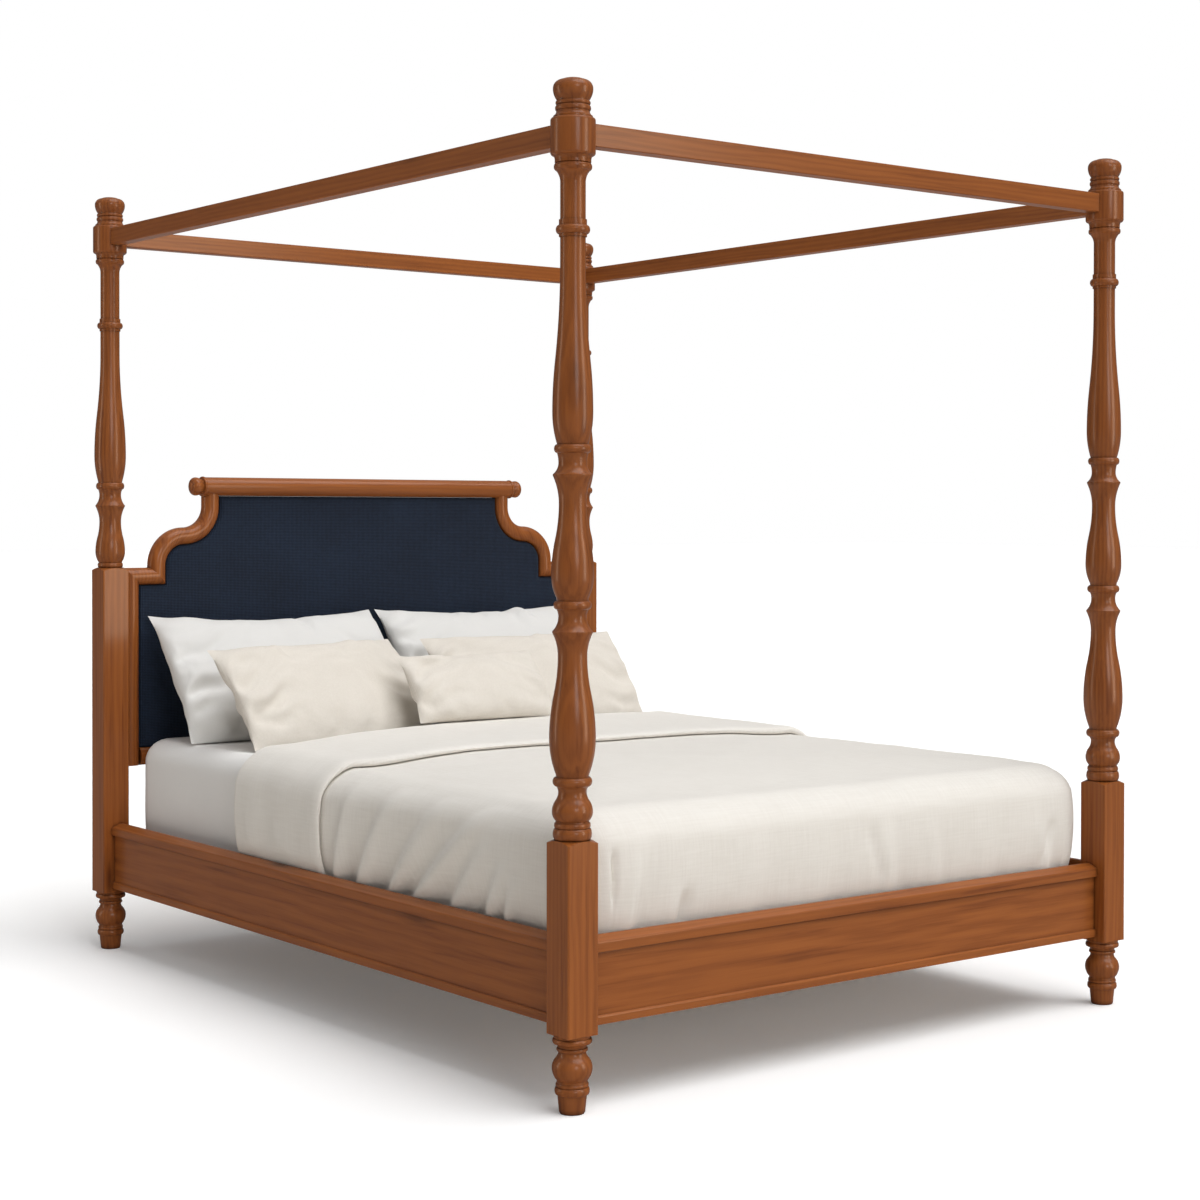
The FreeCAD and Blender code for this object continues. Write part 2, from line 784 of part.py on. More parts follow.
def hook_pair(name, side_sign, end_sign):
    """The hook plate in a side rail's end, and the slotted plate in the post that it drops into."""
    middle_x = (POST_X + S.rail_face_out - S.rail_thickness / 2) * side_sign
    face_y = (POST_Y - BLOCK_HALF) * end_sign
    middle_z = S.rail_bottom + S.rail_board_height / 2
    wide = (middle_x - S.plate_width / 2, middle_x + S.plate_width / 2)
    tall = (middle_z - S.plate_height / 2, middle_z + S.plate_height / 2)
    plate = box(f"{name}_hook_back", wide, (face_y - S.plate_thickness * end_sign, face_y), tall)
    strike = box(f"{name}_strike", wide, (face_y, face_y + S.plate_thickness * end_sign), tall)
    thin = (middle_x - S.hook_thickness / 2, middle_x + S.hook_thickness / 2)
    clear = S.fit_clearance
    pieces = [plate]
    slots = []
    for place_name, sign in (("low", -1), ("high", 1)):
        top = middle_z + S.hook_pitch / 2 * sign + S.hook_arm_height
        far = face_y + (S.plate_thickness + S.hook_reach) * end_sign
        behind = face_y + (S.plate_thickness + clear) * end_sign
        arm = box(f"{name}_arm_{place_name}", thin, (face_y, far), (top - S.hook_arm_height, top))
        nose = box(f"{name}_nose_{place_name}", thin, (behind, far), (top - S.hook_nose_height, top))
        pieces += [arm, nose]
        slots.append(
            box(
                f"{name}_slot_{place_name}",
                (thin[0] - clear, thin[1] + clear),
                (face_y - S.cut_overrun * end_sign, face_y + (S.plate_thickness + S.cut_overrun) * end_sign),
                (top - S.hook_arm_height, top + S.hook_nose_height - S.hook_arm_height + clear),
            )
        )
    return fuse(f"{name}_hook_plate", pieces), cut(f"{name}_strike_plate", strike, slots)


def make_rail_fittings():
    pairs = [hook_pair(name, side_sign, end_sign) for name, _, side_sign, end_sign in corners()]
    keep(group("hook_set", [hook for hook, _ in pairs]), "rail_hook_plates")
    keep(group("strike_set", [strike for _, strike in pairs]), "post_hook_plates")


def make_base():
    """Slats on ledgers and a centre beam, which hangs between the end rails and stands on two legs."""
    inner_x = POST_X - RAIL_INNER
    inner_y = POST_Y - RAIL_INNER
    half_ledger = rail_length(False) / 2
    beam_end = inner_y - S.hanger_thickness
    for side, sign in SIDES:
        ledger = box(
            f"ledger_{side}",
            ((inner_x - S.ledger_width) * sign, inner_x * sign),
            (-half_ledger, half_ledger),
            (SLAT_BOTTOM - S.ledger_height, SLAT_BOTTOM),
        )
        keep(ledger, f"slat_ledger_{side}")
    half_slat = inner_x - S.fit_clearance
    first = S.slat_end_gap - inner_y + S.slat_width / 2
    pitch = first * -2 / (SLAT_COUNT - 1)
    slats = []
    for number in range(SLAT_COUNT):
        middle = first + pitch * number
        slats.append(
            box(
                f"slat_{number}",
                (-half_slat, half_slat),
                (middle - S.slat_width / 2, middle + S.slat_width / 2),
                (SLAT_BOTTOM, S.slat_top),
            )
        )
    keep(group("slat_set", slats), "slats")
    half_beam = S.beam_width / 2
    beam = box(
        "beam",
        (-half_beam, half_beam),
        (-beam_end, beam_end),
        (BEAM_BOTTOM, SLAT_BOTTOM),
    )
    keep(beam, "centre_beam")
    hangers = []
    legs = []
    glides = []
    for end, sign in ENDS:
        back = box(
            f"hanger_back_{end}",
            (-half_beam, half_beam),
            (beam_end * sign, inner_y * sign),
            (SLAT_BOTTOM - S.hanger_height, SLAT_BOTTOM),
        )
        shelf = box(
            f"hanger_shelf_{end}",
            (-half_beam, half_beam),
            ((beam_end - S.hanger_depth) * sign, inner_y * sign),
            (BEAM_BOTTOM - S.hanger_thickness, BEAM_BOTTOM),
        )
        hangers.append(fuse(f"hanger_{end}", [back, shelf]))
        y = S.leg_spacing / 2 * sign
        half_leg = S.leg_side / 2
        leg_span = (S.glide_height, BEAM_BOTTOM)
        legs.append(box(f"leg_{end}", (-half_leg, half_leg), (y - half_leg, y + half_leg), leg_span))
        glides.append(round_bar(f"glide_{end}", S.glide_radius, ZERO, y, (ZERO, S.glide_height)))
    keep(group("hanger_set", hangers), "beam_hangers")
    keep(group("leg_set", legs), "centre_legs")
    keep(group("glide_set", glides), "leg_glides")


def moulding_section():
    """Frame moulding: a flat back and straight sides under a round crown towards -Y."""
    sides = S.moulding_depth - S.moulding_crown
    crown = S.moulding_crown
    bend = (MOULDING_HALF * MOULDING_HALF + crown * crown) / (crown * 2)
    start = (-MOULDING_HALF, ZERO)
    return start, [
        (-MOULDING_HALF, -sides),
        (MOULDING_HALF, -sides, bend, 1),
        (MOULDING_HALF, ZERO),
        start,
    ]


def moulding_run(name, length):
    start, segments = moulding_section()
    return padded_body(f"{name}_run", "XY_Plane", start, segments, length)


def mitre_cut(name, base, mitres):
    """Cut a moulding along 45 degree mitres. A mitre is its centre x and z, the side of the bed that it
    is on, and whether what lies above it goes."""
    reach = S.moulding_width * 4
    wedges = []
    for number, (x, z, sign, above) in enumerate(mitres):
        wedge = DOC.addObject("Part::Box", f"{name}_wedge_{number}")
        bind(wedge, "Length", reach * 2)
        bind(wedge, "Width", reach)
        bind(wedge, "Height", reach)
        slant = reach / DIAGONAL_SHARE
        corner_x = x - slant if above else x - slant + slant * sign
        corner_z = z - slant * sign if above else z - slant * sign - slant
        rotation = FreeCAD.Rotation(Vec(0, 1, 0), -45 * sign)
        wedges.append(place(wedge, corner_x, MOULDING_BACK - reach / 2, corner_z, rotation))
    return cut(f"{name}_mitred", base, wedges)


def scroll(name, sign):
    """Ogee stretch of the frame: a riser, an arc, an arc back and a riser into the top rail."""
    body = DOC.addObject("PartDesign::Body", f"{name}_run")
    start, segments = moulding_section()
    section = chain_sketch(body, f"{name}_section", "XY_Plane", start, segments)
    radius = S.scroll_radius
    low = S.scroll_riser + MOULDING_HALF
    across = -radius * sign
    route = [
        (ZERO, low),
        (across, low + radius, radius, sign),
        (across * 2, low + radius * 2, radius, -sign),
        (across * 2, low + radius * 2 + S.scroll_top_riser),
    ]
    spine = chain_sketch(body, f"{name}_spine", "XZ_Plane", (ZERO, ZERO), route, False)
    pipe = body.newObject("PartDesign::AdditivePipe", f"{name}_pipe")
    pipe.Profile = section
    pipe.Spine = (spine, [f"Edge{number}" for number in range(1, len(route) + 1)])
    place(body, SCROLL_X * sign, MOULDING_BACK, SHOULDER_CENTRE - MOULDING_HALF)
    return body


def headboard_sheet(name, offset, side_x, bottom, top, thickness):
    """Board cut to the headboard's outline, offset outwards from the centre line of the moulding."""
    outer = S.scroll_radius + offset
    inner = S.scroll_radius - offset
    shoulder = SHOULDER_CENTRE + offset
    riser_x = SCROLL_X + offset
    turn_x = SCROLL_X - S.scroll_radius
    turn_z = SCROLL_SPRING + outer
    neck_x = SCROLL_INNER_X + offset
    segments = [
        (side_x, bottom),
        (side_x, shoulder),
        (riser_x, shoulder),
        (riser_x, SCROLL_SPRING),
        (turn_x, turn_z, outer, 1),
        (neck_x, SCROLL_TOP, inner, -1),
        (neck_x, top),
        (-neck_x, top),
        (-neck_x, SCROLL_TOP),
        (-turn_x, turn_z, inner, -1),
        (-riser_x, SCROLL_SPRING, outer, 1),
        (-riser_x, shoulder),
        (-side_x, shoulder),
        (-side_x, bottom),
    ]
    return padded_body(name, "XZ_Plane", (-side_x, bottom), segments, thickness)


def make_headboard_frame():
    shoulder = SHOULDER_CENTRE
    inner_stile = STILE_X - MOULDING_HALF
    lay_over = FreeCAD.Rotation(Vec(0, 1, 0), 90)
    bottom = moulding_run("bottom_rail", inner_stile * 2)
    place(bottom, -inner_stile, MOULDING_BACK, S.headboard_bottom + MOULDING_HALF, lay_over)
    keep(bottom, "headboard_bottom_rail")
    scrolls = []
    for side, sign in SIDES:
        stile_mitre = (STILE_X * sign, shoulder)
        scroll_mitre = (SCROLL_X * sign, shoulder)
        stile = moulding_run(f"stile_{side}", shoulder + MOULDING_HALF - S.headboard_bottom)
        place(stile, STILE_X * sign, MOULDING_BACK, S.headboard_bottom)
        keep(mitre_cut(f"stile_{side}", stile, [(*stile_mitre, sign, True)]), f"headboard_stile_{side}")
        level = moulding_run(f"shoulder_{side}", S.shoulder_run + S.moulding_width)
        low_x = min(STILE_X * sign, SCROLL_X * sign, key=lambda size: size.value) - MOULDING_HALF
        place(level, low_x, MOULDING_BACK, shoulder, lay_over)
        mitres = [(*stile_mitre, sign, False), (*scroll_mitre, sign, True)]
        keep(mitre_cut(f"shoulder_{side}", level, mitres), f"headboard_shoulder_{side}")
        ogee = mitre_cut(f"scroll_{side}", scroll(f"scroll_{side}", sign), [(*scroll_mitre, sign, False)])
        seat = top_bar(f"scroll_seat_{side}", S.top_rail_radius + S.fit_clearance)
        scrolls.append(cut(f"scroll_{side}_coped", ogee, [seat]))
    keep(group("scroll_set", scrolls), "headboard_scrolls")


def top_bar(name, radius):
    """Round bar along the top of the headboard."""
    half = SCROLL_INNER_X + MOULDING_HALF
    height = TOP_BAR_HEIGHT
    lay_over = FreeCAD.Rotation(Vec(0, 1, 0), 90)
    return round_bar(name, radius, -half, TOP_BAR_Y, (height, height + half * 2), lay_over)


def make_headboard_top():
    """Round top rail, turned in one piece with a button at each end."""
    half = SCROLL_INNER_X + MOULDING_HALF
    start = S.button_radius * BUTTON_START_SHARE
    button = turning_segments(start, half, S.button_length, S.button_radius, BUTTON_SHARES)
    far_end = [(radius, -along) for radius, along in reversed(button)]
    bar = [(S.top_rail_radius, -half), (S.top_rail_radius, half)]
    rail = turned_body("top_rail_turning", far_end + bar + button)
    lay_over = FreeCAD.Rotation(Vec(0, 1, 0), 90)
    keep(place(rail, ZERO, TOP_BAR_Y, TOP_BAR_HEIGHT, lay_over), "headboard_top_rail")


def make_headboard_panel():
    """Plywood panel behind the frame, and the upholstered pad that fills the frame."""
    top = TOP_BAR_HEIGHT - S.top_rail_radius - S.fit_clearance
    panel = headboard_sheet(
        "panel",
        MOULDING_HALF - S.panel_inset,
        POST_X - BLOCK_HALF,
        S.headboard_bottom,
        top,
        S.panel_thickness,
    )
    place(panel, ZERO, MOULDING_BACK + S.panel_thickness, ZERO)
    keep(panel, "headboard_panel")
    clear = S.fit_clearance
    pad = headboard_sheet(
        "pad",
        -MOULDING_HALF - clear,
        STILE_X - MOULDING_HALF - clear,
        S.headboard_bottom + S.moulding_width + clear,
        top,
        S.pad_thickness,
    )
    place(pad, ZERO, MOULDING_BACK, ZERO)
    front = -S.pad_thickness.value

    def on_front(edge):
        return all(abs(vertex.Y - front) < abs(front) / 2 for vertex in edge.Vertexes)

    bevel_edges(pad, "pad_bevel", S.pad_edge_bevel, on_front)
    keep(pad, "headboard_upholstery")


def canopy_rail(name, across, sign):
    """Straight bar scribed to the drums at its ends, with a tenon into each."""
    half_thick = S.canopy_rail_thickness / 2
    half_tall = S.canopy_rail_height / 2
    half_tenon = S.canopy_tenon_thickness / 2
    half_tenon_tall = S.canopy_tenon_height / 2
    reach = POST_X if across else POST_Y
    line = (POST_Y if across else POST_X) * sign
    tip = reach - S.drum_radius + S.canopy_tenon_depth

    def bar(bar_name, half_length, half_width, half_height):
        along = (-half_length, half_length)
        over = (line - half_width, line + half_width)
        tall = (CANOPY_CENTRE - half_height, CANOPY_CENTRE + half_height)
        return box(bar_name, along if across else over, over if across else along, tall)

    drums = []
    for end, end_sign in SIDES:
        x = POST_X * (end_sign if across else sign)
        y = POST_Y * (sign if across else end_sign)
        span = (DRUM_BOTTOM - S.cut_overrun, DRUM_TOP + S.cut_overrun)
        drums.append(round_bar(f"{name}_drum_{end}", S.drum_radius + S.fit_clearance, x, y, span))
    scribed = cut(f"{name}_scribed", bar(f"{name}_bar", reach, half_thick, half_tall), drums)
    tenons = bar(f"{name}_tenon_bar", tip, half_tenon, half_tenon_tall)
    return keep(fuse(f"{name}_tenoned", [scribed, tenons]), name)


def make_canopy():
    for side, sign in SIDES:
        canopy_rail(f"canopy_rail_{side}", False, sign)
    for end, sign in ENDS:
        canopy_rail(f"canopy_rail_{end}", True, sign)


def make_mattress():
    """Mattress with round corners and eased top edges."""
    half = S.mattress_width / 2
    corner = S.mattress_corner
    low = -S.mattress_length / 2
    high = S.mattress_length / 2
    segments = [
        (half - corner, low),
        (half, low + corner, corner, 1),
        (half, high - corner),
        (half - corner, high, corner, 1),
        (corner - half, high),
        (-half, high - corner, corner, 1),
        (-half, low + corner),
        (corner - half, low, corner, 1),
    ]
    body = padded_body("mattress_body", "XY_Plane", (corner - half, low), segments, S.mattress_height)
    middle = S.mattress_height.value / 2
    bevel_edges(body, "mattress_edges", S.mattress_bevel, lambda edge: edge.BoundBox.ZMin > middle)
    place(body, ZERO, MATTRESS_FOOT + S.mattress_length / 2, S.slat_top)
    keep(body, "mattress")


def wavy_run(start, end, count, depth):
    """Edges from start to end that swing out and in by depth, one fold to two edges."""
    edges = []
    step = (end - start) / (count * 2)
    outward = Vec(step.y, -step.x, 0).normalize()
    for number in range(count * 2):
        here = start + step * number
        there = start + step * (number + 1)
        if depth == 0:
            edges.append(Part.LineSegment(here, there).toShape())
        else:
            swing = depth if number % 2 else -depth
            edges.append(Part.Arc(here, (here + there) / 2 + outward * swing, there).toShape())
    return edges


def bed_ring(height, spread, fold):
    """Wire round the mattress at a height, spread outwards from it, with folds along the sides and foot."""
    half = S.mattress_width.value / 2 + spread
    foot = MATTRESS_FOOT.value - spread
    head = MATTRESS_HEAD.value
    corner = max(S.mattress_corner.value + spread, S.mattress_corner.value / 2)
    slant = corner * (1 - 1 / DIAGONAL_SHARE)
    left_top = Vec(-half, head, height)
    left_low = Vec(-half, foot + corner, height)
    foot_left = Vec(corner - half, foot, height)
    foot_right = Vec(half - corner, foot, height)
    right_low = Vec(half, foot + corner, height)
    right_top = Vec(half, head, height)
    edges = wavy_run(left_top, left_low, SIDE_FOLD_COUNT, fold)
    edges.append(Part.Arc(left_low, Vec(slant - half, foot + slant, height), foot_left).toShape())
    edges += wavy_run(foot_left, foot_right, FOOT_FOLD_COUNT, fold)
    edges.append(Part.Arc(foot_right, Vec(half - slant, foot + slant, height), right_low).toShape())
    edges += wavy_run(right_low, right_top, SIDE_FOLD_COUNT, fold)
    edges.append(Part.LineSegment(right_top, left_top).toShape())
    return Part.Wire(edges)


def cover_shape(side, top):
    """Solid under a cover that hangs down the sides and foot of the mattress."""
    hem = S.duvet_hem_height.value
    drop = top - hem
    shoulder = S.duvet_shoulder.value
    rings = []
    for drop_share, draw_share, fold_share in DUVET_SHARES:
        fold = S.fold_depth.value * fold_share
        rings.append(bed_ring(hem + drop * drop_share, side - shoulder * draw_share, fold))
    return Part.makeLoft(rings, True, True)


def make_duvet():
    """Duvet draped over the mattress, its top turned back in a band, cut along its slanting head edge."""
    clear = S.soft_clearance.value
    over = S.cut_overrun.value
    width = S.mattress_width.value
    length = S.mattress_length.value
    top = DUVET_TOP.value
    band_top = top + S.band_loft.value
    band_side = S.duvet_side.value + S.band_side.value
    edge_y = MATTRESS_HEAD.value - S.bare_sheet_length.value
    front_y = edge_y - S.band_width.value
    base = S.duvet_hem_height.value - over
    tall = band_top - base + over

    beyond = Part.makeBox(width * 3, length, tall, Vec(-width, 0, 0))
    beyond.rotate(Vec(), Vec(0, 0, 1), S.duvet_skew_degrees.value)
    beyond.translate(Vec(-width / 2 - band_side, edge_y, base))
    ahead = Part.makeBox(width * 2, length, tall, Vec(-width, front_y - length, base))
    room_ring = Part.Face(bed_ring(base, clear, 0))
    room = room_ring.extrude(Vec(0, 0, MATTRESS_TOP.value + clear - base))
    eased = [edge for edge in room.Edges if edge.BoundBox.ZMin > MATTRESS_TOP.value - over]
    eased = [edge for edge in eased if edge.BoundBox.YMin < MATTRESS_HEAD.value - over]
    room = room.makeChamfer(S.mattress_bevel.value, eased)

    main = cover_shape(S.duvet_side.value, top)
    band = cover_shape(band_side, band_top).cut(ahead)
    duvet = DOC.addObject("Part::Feature", "duvet_shape")
    duvet.Shape = main.fuse(band).cut(beyond).cut(room).removeSplitter()
    keep(duvet, "duvet")


def lens(half, thickness, upright=False):
    """Two arcs that meet at both ends, across the local X axis or, upright, along the second axis."""
    swell = thickness / 2
    bend = (half * half + swell * swell) / thickness
    if upright:
        start = (ZERO, ZERO)
        return start, [(ZERO, half * 2, bend, 1), (ZERO, ZERO, bend, 1)]
    start = (-half, ZERO)
    return start, [(half, ZERO, bend, 1), (-half, ZERO, bend, 1)]


def drawn_in_outline(half, height, draw):
    """Pillow seam: four corners joined by arcs that are drawn in."""
    tall = height / 2
    side_bend = (tall * tall + draw * draw) / (draw * 2)
    end_bend = (half * half + draw * draw) / (draw * 2)
    start = (-half, ZERO)
    return start, [
        (half, ZERO, end_bend, -1),
        (half, height, side_bend, -1),
        (-half, height, end_bend, -1),
        (-half, ZERO, side_bend, -1),
    ]


def pillow(name, width, height, thickness, lean, yaw, x, y, seat):
    """Stuffed pillow, crowned both ways inside a drawn-in seam, leant back on its lower corners."""
    half = width / 2
    across = padded_body(f"{name}_across", "XY_Plane", *lens(half, thickness), height)
    up = padded_body(f"{name}_up", "YZ_Plane", *lens(height / 2, thickness, True), width, True)
    outline = drawn_in_outline(half, height, S.pillow_draw)
    seam = padded_body(f"{name}_seam", "XZ_Plane", *outline, thickness, True)
    cushion = DOC.addObject("Part::MultiCommon", f"{name}_crowned")
    cushion.Shapes = [across, up, seam]
    turn = FreeCAD.Rotation(Vec(0, 0, 1), yaw) * FreeCAD.Rotation(Vec(1, 0, 0), -lean.value)
    place(cushion, x, y, seat + S.soft_clearance, turn)
    return keep(cushion, name)


def make_pillows():
    white = (S.white_width, S.white_height, S.white_thickness, S.white_lean_degrees, 0)
    white_x = (S.white_width + S.white_gap) / 2
    white_y = MATTRESS_HEAD - S.white_setback
    for side, sign in SIDES:
        pillow(f"white_pillow_{side}", *white, white_x * sign, white_y, MATTRESS_TOP)
    cream = (S.cream_width, S.cream_height, S.cream_thickness, S.cream_lean_degrees)
    pillow(
        "cream_pillow_left",
        *cream,
        S.cream_left_yaw_degrees.value,
        -S.cream_left_offset,
        MATTRESS_HEAD - S.cream_left_setback,
        MATTRESS_TOP,
    )
    pillow(
        "cream_pillow_right",
        *cream,
        0,
        S.cream_right_offset,
        MATTRESS_HEAD - S.cream_right_setback,
        MATTRESS_TOP,
    )
    pillow(
        "lumbar_cushion",
        S.lumbar_width,
        S.lumbar_height,
        S.lumbar_thickness,
        S.lumbar_lean_degrees,
        0,
        S.lumbar_offset,
        MATTRESS_HEAD - S.lumbar_setback,
        DUVET_TOP + S.band_loft,
    )


def check_document():
    """Stop on any object that failed to recompute and on any part without a sound shape."""
    failed = [item.Label for item in DOC.Objects if {"Invalid", "Error"} & set(item.State)]
    unsound = [part.Label for part in PARTS if part.Shape.isNull() or not part.Shape.isValid()]
    if failed or unsound:
        raise RuntimeError(f"failed objects {failed}, unsound parts {unsound}")


def write_parts():
    os.makedirs("parts", exist_ok=True)
    for part in PARTS:
        part.Shape.exportStep(os.path.join("parts", f"{part.Label}.step"))


make_posts()
make_rails()
make_rail_fittings()
make_base()
make_headboard_frame()
make_headboard_top()
make_headboard_panel()
make_canopy()
make_mattress()
make_duvet()
make_pillows()
DOC.recompute()
check_document()
write_parts()
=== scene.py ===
import math

import bmesh
import bpy
import numpy as np
from mathutils import Matrix, Vector, noise


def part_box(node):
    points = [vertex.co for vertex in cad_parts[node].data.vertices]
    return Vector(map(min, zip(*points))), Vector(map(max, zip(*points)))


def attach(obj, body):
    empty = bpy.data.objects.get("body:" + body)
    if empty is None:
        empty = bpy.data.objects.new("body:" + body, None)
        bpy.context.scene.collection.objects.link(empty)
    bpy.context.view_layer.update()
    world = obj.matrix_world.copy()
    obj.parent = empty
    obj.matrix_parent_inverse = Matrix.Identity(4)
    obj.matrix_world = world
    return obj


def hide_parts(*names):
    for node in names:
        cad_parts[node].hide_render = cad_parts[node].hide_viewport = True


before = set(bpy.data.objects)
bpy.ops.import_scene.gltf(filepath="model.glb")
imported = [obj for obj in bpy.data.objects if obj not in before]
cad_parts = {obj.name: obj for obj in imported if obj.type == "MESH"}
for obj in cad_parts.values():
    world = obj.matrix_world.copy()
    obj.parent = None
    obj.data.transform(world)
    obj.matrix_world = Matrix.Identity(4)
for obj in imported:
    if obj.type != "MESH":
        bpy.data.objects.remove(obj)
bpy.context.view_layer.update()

# All lengths are metres in the frame of the solids: X across the bed, +Y to the head, Z up from the floor.
# Places nearer to each other than SAME_PLACE are one place.
SAME_PLACE = 1e-6
SIDES = ("left", "right")
QUARTER_TURN = math.pi / 2

# Turned pieces
TURNING_SIDES = 72
ARC_STEPS = 9
DRUM_HEIGHT = 0.076
DRUM_RADIUS = 0.0455
DRUM_ROUND = 0.006
COLUMN_RADIUS = 0.047
FOOT_RADIUS = 0.041
FINIAL_RADIUS = 0.0405
BUTTON_RADIUS = 0.027
BUTTON_LENGTH = 0.044

# Turnings from the bottom up: kind, share of the length, share of the radius at its end, and for an
# ogee the share of its chord where it turns. turning_points describes the kinds.
FOOT_COLUMN_SHARES = (
    ("bead", 0.017, 0.84), ("bead", 0.008, 0.785), ("to", 0.002, 0.71), ("rise", 0.014, 0.88),
    ("ogee", 0.029, 0.61, 0.55), ("flare", 0.008, 0.70), ("bead", 0.014, 0.85), ("to", 0.003, 0.71),
    ("rise", 0.053, 1.00), ("ogee", 0.121, 0.63, 0.55), ("flare", 0.034, 0.87), ("to", 0.002, 0.87),
    ("cove", 0.021, 0.61), ("flare", 0.011, 0.68), ("bead", 0.013, 0.82), ("to", 0.004, 0.69),
    ("rise", 0.033, 0.915), ("ogee", 0.105, 0.59, 0.50), ("flare", 0.041, 0.85), ("to", 0.002, 0.85),
    ("cove", 0.017, 0.61), ("flare", 0.014, 0.67), ("bead", 0.013, 0.80), ("to", 0.002, 0.69),
    ("rise", 0.045, 0.875), ("ogee", 0.216, 0.545, 0.35), ("to", 0.040, 0.545), ("to", 0.0, 0.60),
    ("to", 0.004, 0.60), ("bead", 0.013, 0.735), ("to", 0.008, 0.60), ("to", 0.0, 0.545),
    ("to", 0.055, 0.545), ("flare", 0.017, 0.735), ("bead", 0.010, 0.82), ("to", 0.001, 0.78),
    ("to", 0.004, 0.78), ("flare", 0.006, 0.84),
)
FOOT_COLUMN_START_SHARE = 0.74
HEAD_COLUMN_SHARES = (
    ("bead", 0.016, 0.73), ("to", 0.004, 0.70), ("rise", 0.030, 0.85), ("ogee", 0.096, 0.62, 0.50),
    ("flare", 0.050, 0.85), ("to", 0.002, 0.85), ("cove", 0.034, 0.62), ("flare", 0.017, 0.69),
    ("bead", 0.022, 0.81), ("to", 0.005, 0.70), ("rise", 0.081, 0.905), ("ogee", 0.325, 0.55, 0.40),
    ("to", 0.072, 0.55), ("to", 0.0, 0.60), ("to", 0.007, 0.60), ("bead", 0.020, 0.735),
    ("to", 0.012, 0.60), ("to", 0.0, 0.545), ("to", 0.147, 0.545), ("flare", 0.027, 0.735),
    ("bead", 0.016, 0.82), ("to", 0.002, 0.78), ("to", 0.006, 0.78), ("flare", 0.009, 0.84),
)
HEAD_COLUMN_START_SHARE = 0.66
FINIAL_SHARES = (
    ("to", 0.04, 0.98), ("cove", 0.13, 0.83), ("bead", 0.13, 0.89), ("to", 0.02, 0.81), ("bead", 0.10, 0.87),
    ("to", 0.02, 0.81), ("rise", 0.29, 1.00), ("fall", 0.22, 0.55), ("dome", 0.05, 0.0),
)
FINIAL_START_SHARE = 0.98
TURNED_FOOT_SHARES = (
    ("to", 0.02, 0.645), ("to", 0.22, 0.73), ("to", 0.0, 0.77), ("bead", 0.10, 0.865), ("bead", 0.05, 0.815),
    ("to", 0.03, 0.755), ("rise", 0.16, 1.00), ("ogee", 0.21, 0.68, 0.60), ("to", 0.0, 0.71),
    ("bead", 0.05, 0.775), ("flare", 0.05, 0.90), ("bead", 0.07, 0.98), ("to", 0.04, 0.95),
)
TURNED_FOOT_START_SHARE = 0.60
BUTTON_SHARES = (
    ("bead", 0.18, 1.06), ("to", 0.04, 0.80), ("to", 0.06, 0.80), ("rise", 0.34, 0.96), ("fall", 0.30, 0.42),
    ("dome", 0.08, 0.0),
)
BUTTON_START_SHARE = 0.98

# Rounding of the long outer edges of the square timber: an edge is rounded if it is longer and sharper than
# this, and if its faces are larger than this and near the surface of the timber's box
EASED_EDGE = 0.0026
EASED_STEPS = 3
EASED_LENGTH = 0.030
EASED_ANGLE = math.radians(40)
EASED_REACH = 0.0045
EASED_AREA = 4.5e-4
# Faces that differ in direction by less than this are one flat face, and how much large faces lead in shading
FLAT_ANGLE = math.radians(1)
FLAT_WEIGHT = 100

# Headboard: its moulding, round top rail and pad
MOULDING_WIDTH = 0.048
MOULDING_SIDE = 0.010
SCROLL_RADIUS = 0.084
SCROLL_RISER = 0.028
SCROLL_STEPS = 20
TOP_RAIL_RADIUS = 0.0265
PAD_ROUND = 0.016
PAD_SIDE_SHARE = 0.45
# Keeps the sharp corners of an inset outline near their places
LEAST_BISECTOR = 0.5

# Mattress, under its white sheet
SHEET_SHOULDER = 0.060
SHEET_FOOT_ROUND = 0.028
SHEET_CORNER = 0.082
SHEET_LEAST_CORNER = 0.012
SHEET_SLACK = 0.0025
SHEET_ROWS = 12
# Steps across, along and round a corner
SHEET_STEPS = (66, 92, 12)
# How far in from the sides the rows underneath and on top are
SHEET_UNDER_INSETS = (0.30, 0.12)
SHEET_TOP_INSETS = (0.08, 0.12, 0.18, 0.26, 0.36, 0.48, 0.60, 0.70)
# Rows at least this far in aren't pushed inwards
SHEET_PUSHED_INSET = 0.05
# Rows at least this far in have their weave laid from above, and the others have it laid round the side
SHEET_SIDE_INSET = 0.07
# Soft waves of the sheet: scale, seed and share of the slack
SHEET_WAVES = ((5.0, 3.0, 0.6), (14.0, 8.0, 0.25))
# Drag marks at the corners: depth, reach, how many in a full turn and slant
SHEET_DRAG = 0.0012
SHEET_DRAG_REACH = 0.05
SHEET_DRAG_COUNT = 34
SHEET_DRAG_SLANT = 9
# How far the sheet draws in towards its upper and lower edges
SHEET_TUCK = 0.003

# Duvet. Its outside runs over a core rectangle, round a shoulder and down to the hem.
DUVET_CORNER = 0.088
DUVET_SHOULDER = 0.080
DUVET_SIDE = 0.777
DUVET_FOOT = -1.025
DUVET_TOP = 0.605
DUVET_HEM = 0.324
DUVET_SPACING = 0.012
DUVET_LINING_TOP = 0.0225
DUVET_LINING_SIDE = 0.0125
DUVET_CORE = DUVET_SIDE - DUVET_CORNER
DUVET_CORE_FOOT = DUVET_FOOT + DUVET_CORNER
DUVET_FLAT = DUVET_CORNER - DUVET_SHOULDER
DUVET_BEND = QUARTER_TURN * DUVET_SHOULDER
